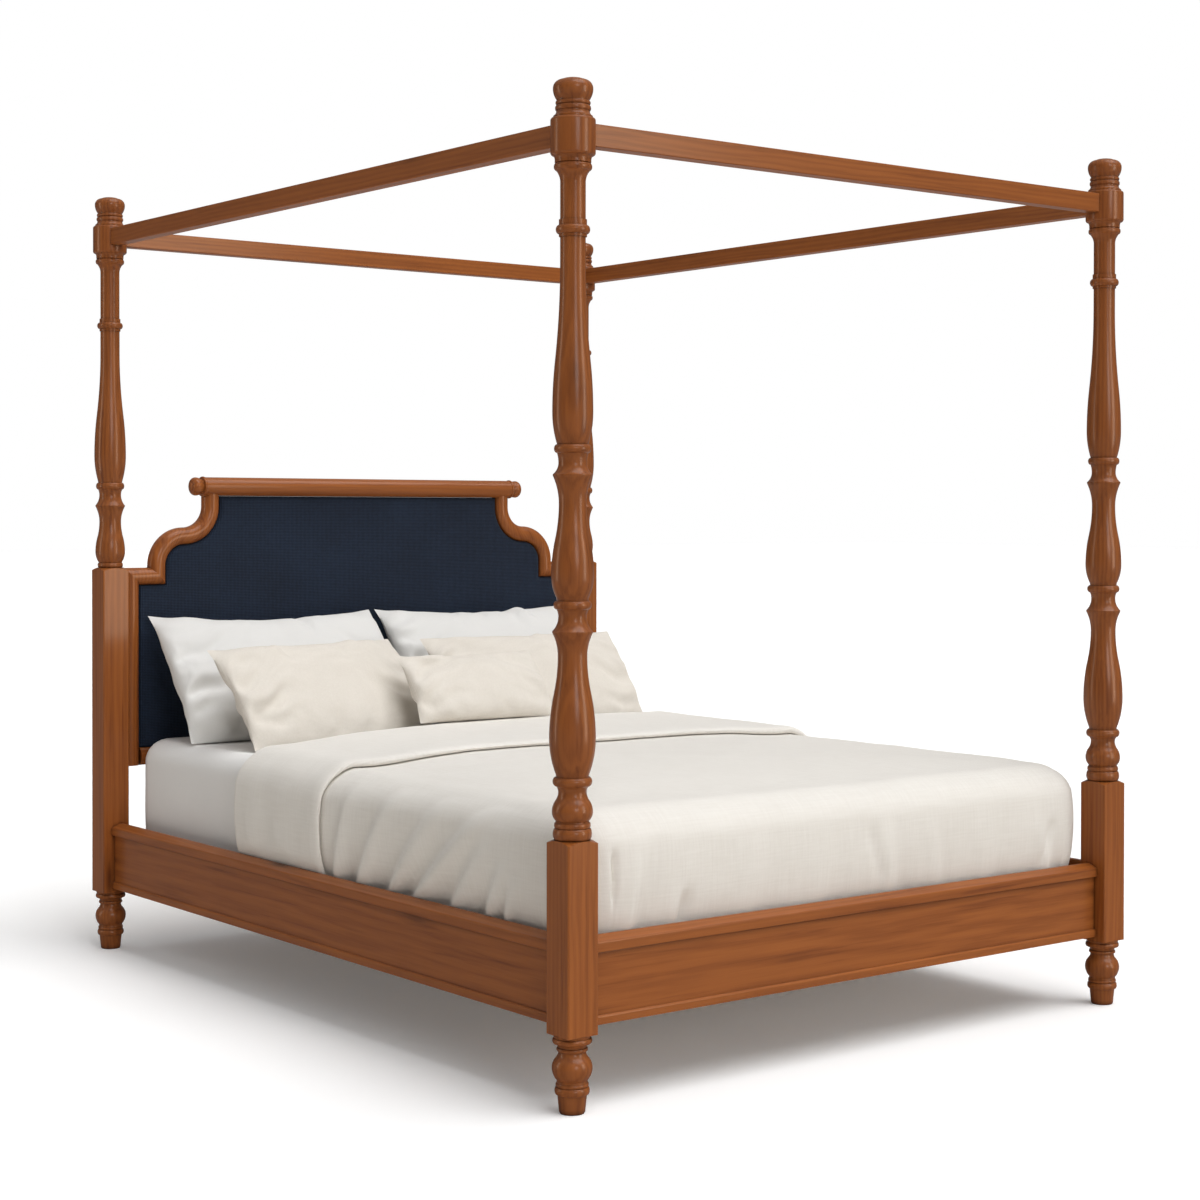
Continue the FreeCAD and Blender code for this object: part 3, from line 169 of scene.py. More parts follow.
# Length of cloth from the core rectangle to the hem, and the place of the hem along the cloth
DUVET_FALL = DUVET_FLAT + DUVET_BEND + DUVET_TOP - DUVET_SHOULDER - DUVET_HEM
DUVET_HEM_LINE = DUVET_CORE_FOOT - DUVET_FALL
# How far its sides bulge, and how far its top droops near the edges and over what reach
DUVET_BULGE = 0.014
DUVET_DROOP = 0.019
DUVET_DROOP_REACH = 0.21
# Puff of the duvet, as waves of a scale, a seed and a height, and its height all over
DUVET_PUFF = ((3.1, 1.0, 0.0042), (8.5, 5.0, 0.0016), (24.0, 9.0, 0.0006))
DUVET_PUFF_BASE = 0.003
# Ripples that run slantwise over the top
DUVET_RIPPLE = ((1.0, 4.0, 0.0016),)
DUVET_RIPPLE_SLANT = ((2.2, 1.3, 0.0), (-3.0, 7.0, 0.0), (0.0, 0.0, 1.0))

# Band at the head end, where the duvet is folded back
BAND_FRONT = -0.045
BAND_LOFT = 0.017
BAND_PUFF_SHARE = 0.75
# Waves of its front edge: height, rate and start
BAND_WAVES = ((0.005, 5.3, 0.8), (0.003, 12.1, 0.0))
# Its lip: place behind the front edge and height, after the duvet's last row and before the band's first
BAND_LIP = (
    (0.010, 0.0003), (0.009, 0.0014), (0.001, 0.0024), (-0.006, 0.0050), (-0.009, 0.0090),
    (-0.0075, 0.0128), (-0.002, 0.0158), (0.007, 0.0176), (0.019, 0.0184), (0.034, 0.0182),
)
BAND_LAST_ROW = -0.006
BAND_FIRST_ROW = 0.044
# Rows that are higher than this are on the band
BAND_LEAST_LOFT = 0.01
HEAD_EDGE_MIDDLE = 0.465
HEAD_EDGE_SLOPE = math.tan(math.radians(6.5))
HEAD_EDGE_ROUND = 0.020
HEAD_EDGE_CURL = math.pi * 0.9
# Where the band is fuller under the small cushion: its middle, half length and depth
HEAD_EDGE_FULL = (-0.02, 0.30, 0.060)
# Where the small cushion presses on the band: its middle across and along, and half sizes
CUSHION_SEAT = (0.088, 0.52, 0.27, 0.12)

# Folds of each hanging side: place along it at the shoulder and at the hem, height, width and where the fold
# starts, from 0 at the shoulder to 1 at the hem
LEFT_FOLDS = (
    (-0.17, -0.10, 0.0163, 0.024, 0.00), (-0.36, -0.20, 0.0235, 0.029, 0.00),
    (-0.56, -0.33, 0.0217, 0.031, 0.00), (-0.74, -0.43, 0.0263, 0.034, 0.00),
    (-0.80, -0.58, 0.0181, 0.028, 0.30), (-0.86, -0.72, 0.0209, 0.022, 0.45),
    (-0.89, -0.79, 0.0163, 0.017, 0.55), (0.14, 0.12, 0.0048, 0.040, 0.00),
    (0.27, 0.29, 0.0048, 0.034, 0.00),
)
RIGHT_FOLDS = (
    (-0.15, -0.12, 0.0090, 0.026, 0.10), (-0.30, -0.20, 0.0120, 0.031, 0.05),
    (-0.47, -0.36, 0.0100, 0.028, 0.10), (-0.66, -0.50, 0.0130, 0.035, 0.02),
    (-0.80, -0.68, 0.0100, 0.026, 0.30), (-0.88, -0.81, 0.0100, 0.021, 0.45),
    (0.10, 0.13, 0.0045, 0.040, 0.10), (0.34, 0.31, 0.0040, 0.036, 0.20),
)
FOOT_FOLDS = (
    (-0.62, -0.655, 0.0130, 0.026, 0.12), (-0.50, -0.53, 0.0110, 0.016, 0.62),
    (-0.30, -0.33, 0.0045, 0.040, 0.15), (-0.09, -0.12, 0.0050, 0.034, 0.20),
    (0.08, 0.11, 0.0080, 0.024, 0.22), (0.22, 0.26, 0.0060, 0.020, 0.35),
    (0.40, 0.42, 0.0045, 0.034, 0.20), (0.57, 0.64, 0.0105, 0.024, 0.45),
)
# A fold grows to its height by this power, up to just past the hem. The hollow beside it has these shares of
# the fold's height, and of its width for its place and its own width.
FOLD_GROWTH = 0.45
FOLD_END = 1.001
FOLD_HOLLOW_SHARES = (0.55, 1.5, 1.2)
# Short creases of the foot side: place across at the upper end and at the lower end, how far down each end
# is, depth and width
FOOT_CREASES = (
    (-0.700, -0.708, 0.36, 0.62, 0.012, 0.012), (-0.502, -0.514, 0.76, 1.00, 0.012, 0.011),
    (0.650, 0.618, 0.55, 0.82, 0.008, 0.010), (0.042, 0.074, 0.42, 0.74, 0.005, 0.014),
)
FOOT_CREASE_FADE = 0.07
# Further down than this share, nothing goes deeper than the deepest crease, or stands out further than the
# room at the hem, beside the rails, and the added room above HIGHER_SHARE, which comes in over a fade
HANGING_SHARE = 0.3
DEEPEST_CREASE = 0.008
HEM_ROOM = 0.0135
HIGHER_ROOM = 0.022
HIGHER_SHARE = 0.95
ROOM_FADE = 0.2
# How far the hem tucks in, and the share of the way down where that starts
HEM_TUCK = 0.006
HEM_TUCK_SHARE = 0.8

# Pillow cases and their filling by the cloth solver
PILLOW_SPACING = 0.0115
PILLOW_FRAMES = 26
PILLOW_SOLVER = {
    "quality": 5, "mass": 0.12, "tension_stiffness": 14, "compression_stiffness": 14, "shear_stiffness": 6,
    "bending_stiffness": 0.35, "air_damping": 3, "use_pressure": True, "uniform_pressure_force": 5.0,
}
# The layers of a flat case start this far from its middle, with this much noise of this scale
CASE_START = 0.006
CASE_NOISE = 0.003
CASE_NOISE_SCALE = 16
# How sharp the seam stays when the case is subdivided
SEAM_CREASE = 0.8
# How far the end seams draw in, and how the cloth beside a seam is calmed: share, reach and steps
END_DRAW = 0.009
SEAM_CALM = 0.75
SEAM_REACH = 0.060
SEAM_BLUR = 8
# Power of the share of the thickness kept towards the edges: a lower power is fuller
FULLNESS = 0.74
# Thickness at the lower seam as a share, and how much of it the top seam loses
FOOT_SHARE = 1.10
TOP_LOSS_SHARE = 0.22
# Noise creases: height, reach in from the ends and calm strip there, the same up from the lower seam, and
# stretches of the noise
CREASE = 0.0070
CREASE_END = (0.13, 0.045)
CREASE_FOOT = (0.07, 0.014)
CREASE_FOOT_SHARE = 1.1
CREASE_SLANTED = (5.0, 3.0, 21.0)
CREASE_SLANT = 7.0
CREASE_UPRIGHT = (24.0, 3.0, 4.0)
# Creases that fan in from an end seam: share of the height where each starts, slope, depth and width
END_CREASES = (
    (0.17, 0.12, 0.0140, 0.015), (0.33, 0.32, 0.0190, 0.018), (0.50, 0.42, 0.0160, 0.017),
    (0.66, 0.30, 0.0120, 0.018), (0.82, 0.05, 0.0080, 0.018),
)
# Their reach, where along it they are deepest, the calm strip at the seam, their shares at the left and the
# right end, the least height of a pillow with full creases, and the share of their depth that the ridge
# beside each one has
END_CREASE_REACH = 0.080
END_CREASE_MIDDLE_SHARE = 0.62
END_CREASE_CALM = 0.022
END_CREASE_SIDE_SHARES = (1.15, 0.6)
END_CREASE_FULL_HEIGHT = 0.3
END_CREASE_RIDGE_SHARE = 0.5
# How much their starts, reaches and lines differ from pillow to pillow, and the rates at which they do
END_CREASE_START_STRAY = 0.05
END_CREASE_REACH_STRAY = 0.026
END_CREASE_SWAY = 0.010
END_CREASE_SWAY_RATE = 40
END_CREASE_RATES = (3.1, 2.3, 1.7)
# Seeds of the noise of the cases and of the creases
CASE_SEED_STEP = 3.0
CREASE_SEED = 11.0
CREASE_FOOT_SEED_STEP = 5
# How far the end seams lie forward of the middle of the pillow, and how far in that reaches
END_ROLL = 0.013
END_ROLL_REACH = 0.055
# How softly a pillow flattens where it rests, and the gap under it
SEAT_PRESS = 0.004
SEAT_GAP = 0.0006
# Body, width, height, thickness, lean, turn, place of the lower seam, seat, how far the top bends back and
# how far the top seam sags
PILLOWS = (
    ("white_pillow_left", 0.716, 0.424, 0.142, 34, 0, (-0.367, 0.754), 0.580, 0.028, 0.034),
    ("white_pillow_right", 0.716, 0.424, 0.142, 34, 0, (0.367, 0.754), 0.580, 0.028, 0.032),
    ("cream_pillow_left", 0.690, 0.318, 0.108, 34, 14, (-0.346, 0.570), 0.580, 0.010, 0.006),
    ("cream_pillow_right", 0.690, 0.318, 0.098, 34, 0, (0.366, 0.600), 0.580, 0.010, 0.006),
    ("lumbar_cushion", 0.462, 0.228, 0.090, 36, 0, (0.066, 0.494), 0.623, 0.004, 0.016),
)

# Camera that matches the photograph, whose frame is PHOTO_SIZE pixels square
PHOTO_SIZE = 1200
FOCAL_PIXELS = 2205.8
HORIZON_PIXELS = -64.25
SENSOR_MM = 36.0
CAMERA_PLACE = (-3.4709, -4.5826, 1.2009)
CAMERA_YAW = math.radians(37.725)
CAMERA_PITCH = math.radians(0.571)
CAMERA_ROLL = math.radians(0.063)
CAMERA_REACH = 200

# Floor as the camera sees it, as lacquer mirrors it and as it lights the bed, and its glow for the camera
FLOOR_HALF = 60.0
FLOOR_SEEN = (0.97, 0.97, 0.97, 1.0)
FLOOR_MIRRORED = (0.30, 0.30, 0.30, 1.0)
FLOOR_BOUNCE = (0.71, 0.67, 0.62, 1.0)
FLOOR_GLOW = 0.10
PLAIN_WHITE = (1.0, 1.0, 1.0, 1.0)
# Light of the world at the horizon and overhead
WORLD_LEVELS = (0.06, 0.56)
# Suns: name, strength, angle in degrees and the way their light goes
SUNS = (("soft_key", 2.15, 50, (-0.22, 0.37, -0.90)), ("low_fill", 0.56, 20, (0.20, 0.94, -0.26)))
# Tall strips that only show as reflections in the lacquer: name, place, width and watts
STRIPS = (("strip_right", (2.6, -6.2, 1.6), 1.7, 190.0), ("strip_left", (-5.6, 2.9, 1.6), 1.0, 80.0))
STRIP_TALL = 4.6
STRIP_AIM = (0.0, 0.0, 1.1)
STRIP_COLOUR = (1.0, 0.84, 0.66)

# Colours as display values of 0 to 255: light wood, dark wood and streaks
CHERRY_COLOURS = ((167, 97, 44), (129, 70, 31), (92, 41, 20))
TURNED_COLOURS = ((157, 91, 43), (121, 66, 31), (84, 37, 19))
PALE_COLOURS = ((222, 190, 145), (190, 150, 102), (158, 112, 70))
# Axes of the frame that wood's own axes take, where its third runs along the grain
GRAIN_ORDER = {"X": "YZX", "Y": "ZXY", "Z": "XYZ"}
LACQUER = 0.34
LACQUER_ROUGH = (0.38, 0.52)
BARE_ROUGH = (0.55, 0.72)
KNOT_SHARE = 0.8
# Spacing of the bands of a wave texture of scale 1, and the scale of slubs for threads 1 apart
WAVE_SPACING = 0.314
SLUB_SCALE = 0.45
SLUB_STRETCHES = ((1.0, 0.05, 1.0), (0.05, 1.0, 0.05))
THREAD_RELIEF_SHARE = 0.35
# Weaves, and the way the weave of a piece with its own flat places runs
COTTON = {"thread": 0.0009, "slub": 0.16, "relief": 0.12, "sheen": 0.06}
LINEN = {"thread": 0.0020, "relief": 0.25, "sheen": 0.08, "cloudy": 0.12}
LAID_FLAT = {"source": "UV", "ways": "XY"}


def display(colour):
    """Linear colour from display values of 0 to 255."""
    def channel(level):
        level /= 255
        return level / 12.92 if level <= 0.04045 else ((level + 0.055) / 1.055) ** 2.4
    return (*map(channel, colour), 1.0)


def angles(sweep, steps=ARC_STEPS, first=1):
    """Even steps of an angle up to the sweep; first is 0 where they start from no angle at all."""
    return [sweep * number / steps for number in range(first, steps + 1)]


def linked(name, data):
    """A new object of the scene."""
    piece = bpy.data.objects.new(name, data)
    bpy.context.scene.collection.objects.link(piece)
    return piece


def mesh_piece(name, points, faces, body, slot, material, nodes, crease=40, place=None):
    """A smooth mesh piece that rides on a body and replaces nodes; place is its matrix in the frame."""
    mesh = bpy.data.meshes.new(name)
    mesh.from_pydata([tuple(point) for point in points], [], faces)
    mesh.validate()
    mesh.shade_smooth()
    mesh.set_sharp_from_angle(angle=math.radians(crease))
    mesh.materials.append(material)
    piece = linked(name, mesh)
    if place is not None:
        piece.matrix_world = place
    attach(piece, body)
    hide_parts(*nodes)
    return piece


def lay_cloth(piece, flat):
    """Places of each vertex on the flat cloth, in metres, for the weave."""
    corners = np.empty(len(piece.data.loops), dtype=np.int32)
    piece.data.loops.foreach_get("vertex_index", corners)
    layer = piece.data.uv_layers.new(name="cloth")
    layer.data.foreach_set("uv", flat[corners].astype(np.float32).reshape(-1))


def tube_faces(rings, sides, closed_rings=True):
    """Quads between successive rings of the same number of points."""
    faces = []
    last = sides if closed_rings else sides - 1
    for ring in range(rings - 1):
        for side in range(last):
            across = (side + 1) % sides
            low = ring * sides
            faces.append((low + side, low + across, low + sides + across, low + sides + side))
    return faces


def end_faces(rings, sides):
    """The faces that close a tube at its first and its last ring."""
    last = (rings - 1) * sides
    return [tuple(range(sides))[::-1], tuple(range(last, last + sides))]


def joined(shapes):
    """Several shapes of points and faces as one."""
    points = []
    faces = []
    for more_points, more_faces in shapes:
        start = len(points)
        points += more_points
        faces += [tuple(start + index for index in face) for face in more_faces]
    return points, faces


class Nodes:
    """Shader nodes of a material or a world. What goes into a node is a value or another node's output."""

    def __init__(self, owner):
        self.owner = owner
        owner.use_nodes = True
        self.tree = owner.node_tree
        self.tree.nodes.clear()

    def add(self, kind, output, inputs, **settings):
        """One output of a new node with these inputs and settings."""
        node = self.tree.nodes.new(f"ShaderNode{kind}")
        for name, value in settings.items():
            setattr(node, name, value)
        for name, value in inputs.items():
            if isinstance(value, bpy.types.NodeSocket):
                self.tree.links.new(value, node.inputs[name])
            else:
                node.inputs[name].default_value = value
        return node.outputs[output]

    def place(self, source="Object"):
        return self.add("TexCoord", source, {})

    def stretched(self, place, scale, shift=(0.0, 0.0, 0.0)):
        return self.add("Mapping", "Vector", {"Vector": place, "Scale": scale, "Location": shift})

    def noise(self, place, scale, detail, output="Fac", **more):
        return self.add("TexNoise", output, {"Vector": place, "Scale": scale, "Detail": detail, **more})

    def ramp(self, factor, stops):
        """Colour ramp whose stops are places and colours, or places and grey levels."""
        node = self.add("ValToRGB", "Color", {"Fac": factor}).node
        elements = node.color_ramp.elements
        while len(elements) < len(stops):
            elements.new(0.5)
        for element, (place, colour) in zip(elements, stops):
            element.position = place
            element.color = colour if isinstance(colour, tuple) else (colour, colour, colour, 1.0)
        return node.outputs["Color"]

    def mix(self, factor, first, second, blend="MIX"):
        return self.add("Mix", 2, {0: factor, 6: first, 7: second}, data_type="RGBA", blend_type=blend)

    def maths(self, operation, first, second):
        return self.add("Math", 0, {0: first, 1: second}, operation=operation)

    def total(self, *parts):
        """Sum of outputs, each given with the number that it is multiplied by."""
        products = [self.maths("MULTIPLY", value, share) for value, share in parts]
        total = products[0]
        for product in products[1:]:
            total = self.maths("ADD", total, product)
        return total

    def ranged(self, value, least, most, **more):
        return self.add("MapRange", "Result", {"Value": value, "To Min": least, "To Max": most, **more})

    def bump(self, height, strength, distance):
        return self.add("Bump", "Normal", {"Strength": strength, "Distance": distance, "Height": height})

    def surface(self, shader, kind="Material"):
        """Makes this shader the surface, and gives back what the nodes belong to."""
        output = self.tree.nodes.new(f"ShaderNodeOutput{kind}")
        self.tree.links.new(shader, output.inputs["Surface"])
        return self.owner

    def shade(self, inputs):
        """Gives the material a surface with these inputs, and gives it back."""
        return self.surface(self.add("BsdfPrincipled", "BSDF", inputs))


def material_nodes(name):
    return Nodes(bpy.data.materials.new(name))


def wood(name, grain, colours, gloss=LACQUER, rough=LACQUER_ROUGH):
    """Lacquered wood with growth rings, fibres, streaks and a few knots along one axis of the frame, or along
    the third component of the piece's own attribute where grain names one, with painted shade that darkens
    its grooves, its hollows and the places where it meets other parts."""
    nodes = material_nodes(name)
    honey, brown, streak_colour = map(display, colours)
    if grain in GRAIN_ORDER:
        split = nodes.add("SeparateXYZ", 0, {0: nodes.place()}).node
        parts = {own: split.outputs[axis] for own, axis in zip("XYZ", GRAIN_ORDER[grain])}
        along = nodes.add("CombineXYZ", "Vector", parts)
    else:
        along = nodes.add("Attribute", "Vector", {}, attribute_name=grain)

    def drawn_out(share, shift=(0.0, 0.0, 0.0)):
        return nodes.stretched(along, (1.0, 1.0, share), shift)

    knot = nodes.add("TexVoronoi", "Distance", {"Vector": drawn_out(0.20), "Scale": 11.0, "Randomness": 1.0})
    knot_core = nodes.ramp(knot, ((0.03, 1.0), (0.13, 0.25), (0.24, 0.0)))
    bend = nodes.noise(drawn_out(0.35), 5.0, 2.0, "Color")
    swayed = nodes.mix(0.025, drawn_out(0.05), bend, "ADD")
    round_knots = nodes.mix(0.010, swayed, knot_core, "ADD")
    rings = nodes.add(
        "TexWave", "Fac",
        {"Vector": round_knots, "Scale": 30.0, "Distortion": 5.0, "Detail": 3.0, "Detail Scale": 1.6,
         "Detail Roughness": 0.62},
        wave_type="RINGS", rings_direction="Z", wave_profile="SIN",
    )
    fibre = nodes.noise(drawn_out(0.014), 520.0, 2.5, Roughness=0.6)
    streak = nodes.noise(drawn_out(0.034), 62.0, 4.0, Roughness=0.62, Distortion=0.35)
    broad = nodes.noise(drawn_out(0.16, (3.1, 1.7, 0.4)), 6.0, 2.0)
    tone = nodes.total((rings, 0.20), (streak, 0.56), (fibre, 0.24))
    between = tuple((light + dark) / 2 for light, dark in zip(honey, brown))
    base = nodes.ramp(tone, ((0.24, honey), (0.52, between), (0.76, brown)))
    base = nodes.mix(nodes.ramp(streak, ((0.58, 0.0), (0.80, 0.70))), base, streak_colour)
    warm = tuple(light * 0.55 + dark * 0.45 for light, dark in zip(honey, streak_colour))
    base = nodes.mix(nodes.ramp(broad, ((0.32, 0.0), (0.72, 0.36))), base, warm)
    knot_colour = tuple(level * 0.35 for level in streak_colour[:3]) + (1.0,)
    base = nodes.mix(nodes.maths("MULTIPLY", knot_core, KNOT_SHARE), base, knot_colour)
    # Painted shade: ambient occlusion darkens the colour in grooves, in hollows and where the wood meets
    # other parts
    hollow = nodes.add("AmbientOcclusion", "AO", {"Distance": 0.014}, samples=6)
    base = nodes.mix(1.0, base, nodes.ramp(hollow, ((0.30, 0.34), (0.86, 1.0))), "MULTIPLY")
    return nodes.shade({
        "Base Color": base,
        "Roughness": nodes.ranged(fibre, *rough),
        "Specular IOR Level": 0.10,
        "Coat Weight": gloss,
        "Coat Roughness": 0.20,
        "Normal": nodes.bump(nodes.total((fibre, 0.7), (rings, 0.3)), 0.10, 0.0006),
    })


def cloth(
    name, colour, shade, thread, slub, relief, sheen, source="Object", ways="XZ", threads=0.22, cloudy=0.22
):
    """Woven cloth: threads of a given spacing along two axes, slubs along them and soft changes of tone."""
    nodes = material_nodes(name)
    place = nodes.place(source)
    scale = WAVE_SPACING / thread
    wave = {"Vector": place, "Scale": scale, "Distortion": 1.4, "Detail": 2.0, "Detail Scale": 0.6}
    bands = [nodes.add("TexWave", "Fac", wave, wave_type="BANDS", bands_direction=way) for way in ways]
    weave = nodes.maths("ADD", *bands)
    lying = [nodes.stretched(place, stretch) for stretch in SLUB_STRETCHES]
    slubs = nodes.maths("ADD", *[nodes.noise(along, SLUB_SCALE / thread, 3.0) for along in lying])
    tone = nodes.total((weave, threads), (slubs, slub), (nodes.noise(place, 7.0, 3.0), cloudy))
    return nodes.shade({
        "Base Color": nodes.ramp(tone, ((0.30, display(shade)), (0.95, display(colour)))),
        "Roughness": nodes.ranged(slubs, 0.78, 0.96, **{"From Max": 2.0}),
        "Sheen Weight": sheen,
        "Sheen Roughness": 0.45,
        "Specular IOR Level": 0.25,
        "Normal": nodes.bump(nodes.maths("ADD", weave, slubs), relief, thread * THREAD_RELIEF_SHARE),
    })


def metal(name):
    nodes = material_nodes(name)
    place = nodes.place()
    scratch = nodes.noise(nodes.stretched(place, (1.0, 1.0, 0.03)), 900.0, 3.0)
    spangle = nodes.add("TexVoronoi", "Color", {"Vector": place, "Scale": 160.0})
    grey = nodes.ramp(scratch, ((0.3, (0.42, 0.42, 0.43, 1.0)), (0.7, (0.60, 0.60, 0.61, 1.0))))
    return nodes.shade({
        "Base Color": nodes.mix(0.08, grey, spangle, "OVERLAY"),
        "Metallic": 1.0,
        "Roughness": nodes.ranged(scratch, 0.30, 0.52),
    })


def plastic(name):
    nodes = material_nodes(name)
    grain = nodes.noise(nodes.place(), 700.0, 2.0)
    dark = nodes.ramp(grain, ((0.3, (0.018, 0.018, 0.019, 1.0)), (0.7, (0.034, 0.034, 0.036, 1.0))))
    return nodes.shade({
        "Base Color": dark,
        "Roughness": nodes.ranged(grain, 0.5, 0.7),
        "Normal": nodes.bump(grain, 0.15, 0.0003),
    })


CHERRY = {grain: wood(f"cherry_{grain.lower()}", grain, CHERRY_COLOURS) for grain in ("X", "Y", "Z", "run")}
TURNED = wood("cherry_turned", "Z", TURNED_COLOURS)
PALE = {
    grain: wood(f"pale_{grain.lower()}", grain, PALE_COLOURS, gloss=0.0, rough=BARE_ROUGH) for grain in "XYZ"
}
STEEL = metal("zinc_plated_steel")
GLIDE = plastic("glide_plastic")
NAVY = cloth(
    "navy_linen", (42, 58, 81), (11, 19, 33), thread=0.0044, slub=0.22, relief=0.5, sheen=0.03, threads=0.24,
    cloudy=0.12,
)
WHITE = cloth("white_cotton", (231, 230, 228), (218, 217, 214), **COTTON)
SHEET = cloth("white_cotton_sheet", (243, 242, 240), (230, 229, 227), **COTTON, **LAID_FLAT)
CREAM = cloth("cream_linen", (231, 225, 216), (211, 204, 193), slub=0.34, **LINEN)
DUVET_CLOTH = cloth("cream_linen_duvet", (242, 239, 233), (222, 217, 209), slub=0.36, **LINEN, **LAID_FLAT)


def upright_arc(here, there, wide_first, hollow):
    """Arc between two points of radius and height that is upright at one of them."""
    rise = abs(there[1] - here[1])
    step = abs(there[0] - here[0])
    bend = (rise * rise + step * step) / (2 * step)
    sweep = math.atan2(rise, bend - step)
    upright_first = wide_first != hollow
    upright, away = (here, there) if upright_first else (there, here)
    out = 1 if away[0] > upright[0] else -1
    up = 1 if away[1] > upright[1] else -1
    points = []
    for number in range(1, ARC_STEPS + 1):
        share = number / ARC_STEPS
        angle = sweep * (share if upright_first else 1 - share)
        sideways = bend * (1 - math.cos(angle))
        points.append((upright[0] + out * sideways, upright[1] + up * bend * math.sin(angle)))
    return points


def turning_points(start_share, radius, base, length, shares):
    """Outline of a turning as radius and height. A bead goes out and comes back, a rise or fall is round and
    upright at its wide end, a flare or cove is hollow and upright at its narrow end, an ogee is a fall and
    then a cove, and a dome ends on the axis."""
    total = sum(step[1] for step in shares)
    outline = [(radius * start_share, base)]
    reached = 0
    for kind, height_share, radius_share, *turn_share in shares:
        here = outline[-1]
        reached += height_share
        there = (radius * radius_share, base + length * reached / total)
        step = there[0] - here[0]
        rise = there[1] - here[1]
        if kind == "to":
            outline.append(there)
        elif kind == "bead":
            for angle in angles(math.pi):
                outline.append((here[0] + step * math.sin(angle), here[1] + rise * (1 - math.cos(angle)) / 2))
        elif kind == "dome":
            for angle in angles(QUARTER_TURN):
                outline.append((here[0] * math.cos(angle), here[1] + rise * math.sin(angle)))
        elif kind == "ogee":
            middle = tuple(a + (b - a) * turn_share[0] for a, b in zip(here, there))
            outline += upright_arc(here, middle, True, False)
            outline += upright_arc(middle, there, True, True)
        else:
            outline += upright_arc(here, there, kind in ("fall", "cove"), kind in ("flare", "cove"))
    return outline


def drum_points(bottom):
    """Drum with rounded edges that the canopy rails run into, as radius and height."""
    points = []
    for centre, start in ((bottom + DRUM_ROUND, -QUARTER_TURN), (bottom + DRUM_HEIGHT - DRUM_ROUND, 0)):
        for turn in angles(QUARTER_TURN, first=0):
            out = DRUM_RADIUS - DRUM_ROUND + DRUM_ROUND * math.cos(start + turn)
            points.append((out, centre + DRUM_ROUND * math.sin(start + turn)))
    return points


def lathe(outline, place):
    """Points and faces of an outline of radius and height turned about an axis; place maps to the frame."""
    outline = [outline[0]] + [b for a, b in zip(outline, outline[1:]) if math.dist(a, b) > SAME_PLACE]
    tips = [end for end in (outline[0], outline[-1]) if end[0] < SAME_PLACE]
    rings = [ring for ring in outline if ring not in tips]
    points = []
    for radius, height in rings:
        for side in range(TURNING_SIDES):
            angle = 2 * math.pi * side / TURNING_SIDES
            points.append(place(radius * math.cos(angle), radius * math.sin(angle), height))
    faces = tube_faces(len(rings), TURNING_SIDES)
    for end, around in zip((outline[0], outline[-1]), end_faces(len(rings), TURNING_SIDES)):
        if end not in tips:
            faces.append(around)
            continue
        tip = len(points)
        points.append(place(0.0, 0.0, end[1]))
        faces += [(around[side - 1], around[side], tip) for side in range(TURNING_SIDES)]
    return points, faces


def upright_at(centre):
    return lambda x, y, z: (centre.x + x, centre.y + y, z)


def post_centres():
    places = {}
    for end in ("foot", "head"):
        for side in SIDES:
            low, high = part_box(f"lower_post_{end}_{side}")
            places[end, side] = (low + high) / 2
    return places


def column_shape(centre, node, start, shares):
    low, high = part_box(node)
    drum = high.z - DRUM_HEIGHT
    outline = turning_points(start, COLUMN_RADIUS, low.z, drum - low.z, shares) + drum_points(drum)
    return lathe(outline, upright_at(centre))


def turned_set(name, node, start, radius, shares, centres):
    """Four turnings on the axes of the posts, as one piece."""
    low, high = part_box(node)
    outline = turning_points(start, radius, low.z, high.z - low.z, shares)
    shape = joined([lathe(outline, upright_at(centre)) for centre in centres])
    mesh_piece(name, *shape, "frame", "cherry_wood", TURNED, (node,))


def make_posts():
    centres = post_centres()
    for side in SIDES:
        node = f"upper_post_foot_{side}"
        shape = column_shape(centres["foot", side], node, FOOT_COLUMN_START_SHARE, FOOT_COLUMN_SHARES)
        mesh_piece(f"foot_column_{side}", *shape, "frame", "cherry_wood", TURNED, (node,))
    node = "upper_posts_head"
    turning = (HEAD_COLUMN_START_SHARE, HEAD_COLUMN_SHARES)
    heads = joined([column_shape(centres["head", side], node, *turning) for side in SIDES])
    mesh_piece("head_columns", *heads, "frame", "cherry_wood", TURNED, (node,))
    places = centres.values()
    turning = (TURNED_FOOT_START_SHARE, FOOT_RADIUS, TURNED_FOOT_SHARES)
    turned_set("turned_foot_set", "turned_feet", *turning, places)
    turning = (FINIAL_START_SHARE, FINIAL_RADIUS, FINIAL_SHARES)
    turned_set("finial_set", "finials", *turning, places)


def make_top_rail():
    """Round rail along the top of the headboard with a turned button at each end."""
    low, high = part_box("headboard_top_rail")
    centre = (low + high) / 2
    half = high.x - centre.x - BUTTON_LENGTH
    button = turning_points(BUTTON_START_SHARE, BUTTON_RADIUS, half, BUTTON_LENGTH, BUTTON_SHARES)
    outline = [(out, -along) for out, along in reversed(button)]
    outline += [(TOP_RAIL_RADIUS, -half), (TOP_RAIL_RADIUS, half)] + button
    shape = lathe(outline, lambda x, y, z: (centre.x + z, centre.y + x, centre.z + y))
    nodes = ("headboard_top_rail",)
    mesh_piece("headboard_round_rail", *shape, "frame", "cherry_wood", CHERRY["X"], nodes)


def moulding_section():
    """Half-round moulding as offset across and depth forward of its back."""
    low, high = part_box("headboard_stile_left")
    round_depth = high.y - low.y - MOULDING_SIDE
    half = MOULDING_WIDTH / 2
    section = [(-half, 0.0), (-half, MOULDING_SIDE)]
    for angle in angles(math.pi, 2 * ARC_STEPS)[:-1]:
        section.append((-half * math.cos(angle), MOULDING_SIDE + round_depth * math.sin(angle)))
    return section + [(half, MOULDING_SIDE), (half, 0.0)]


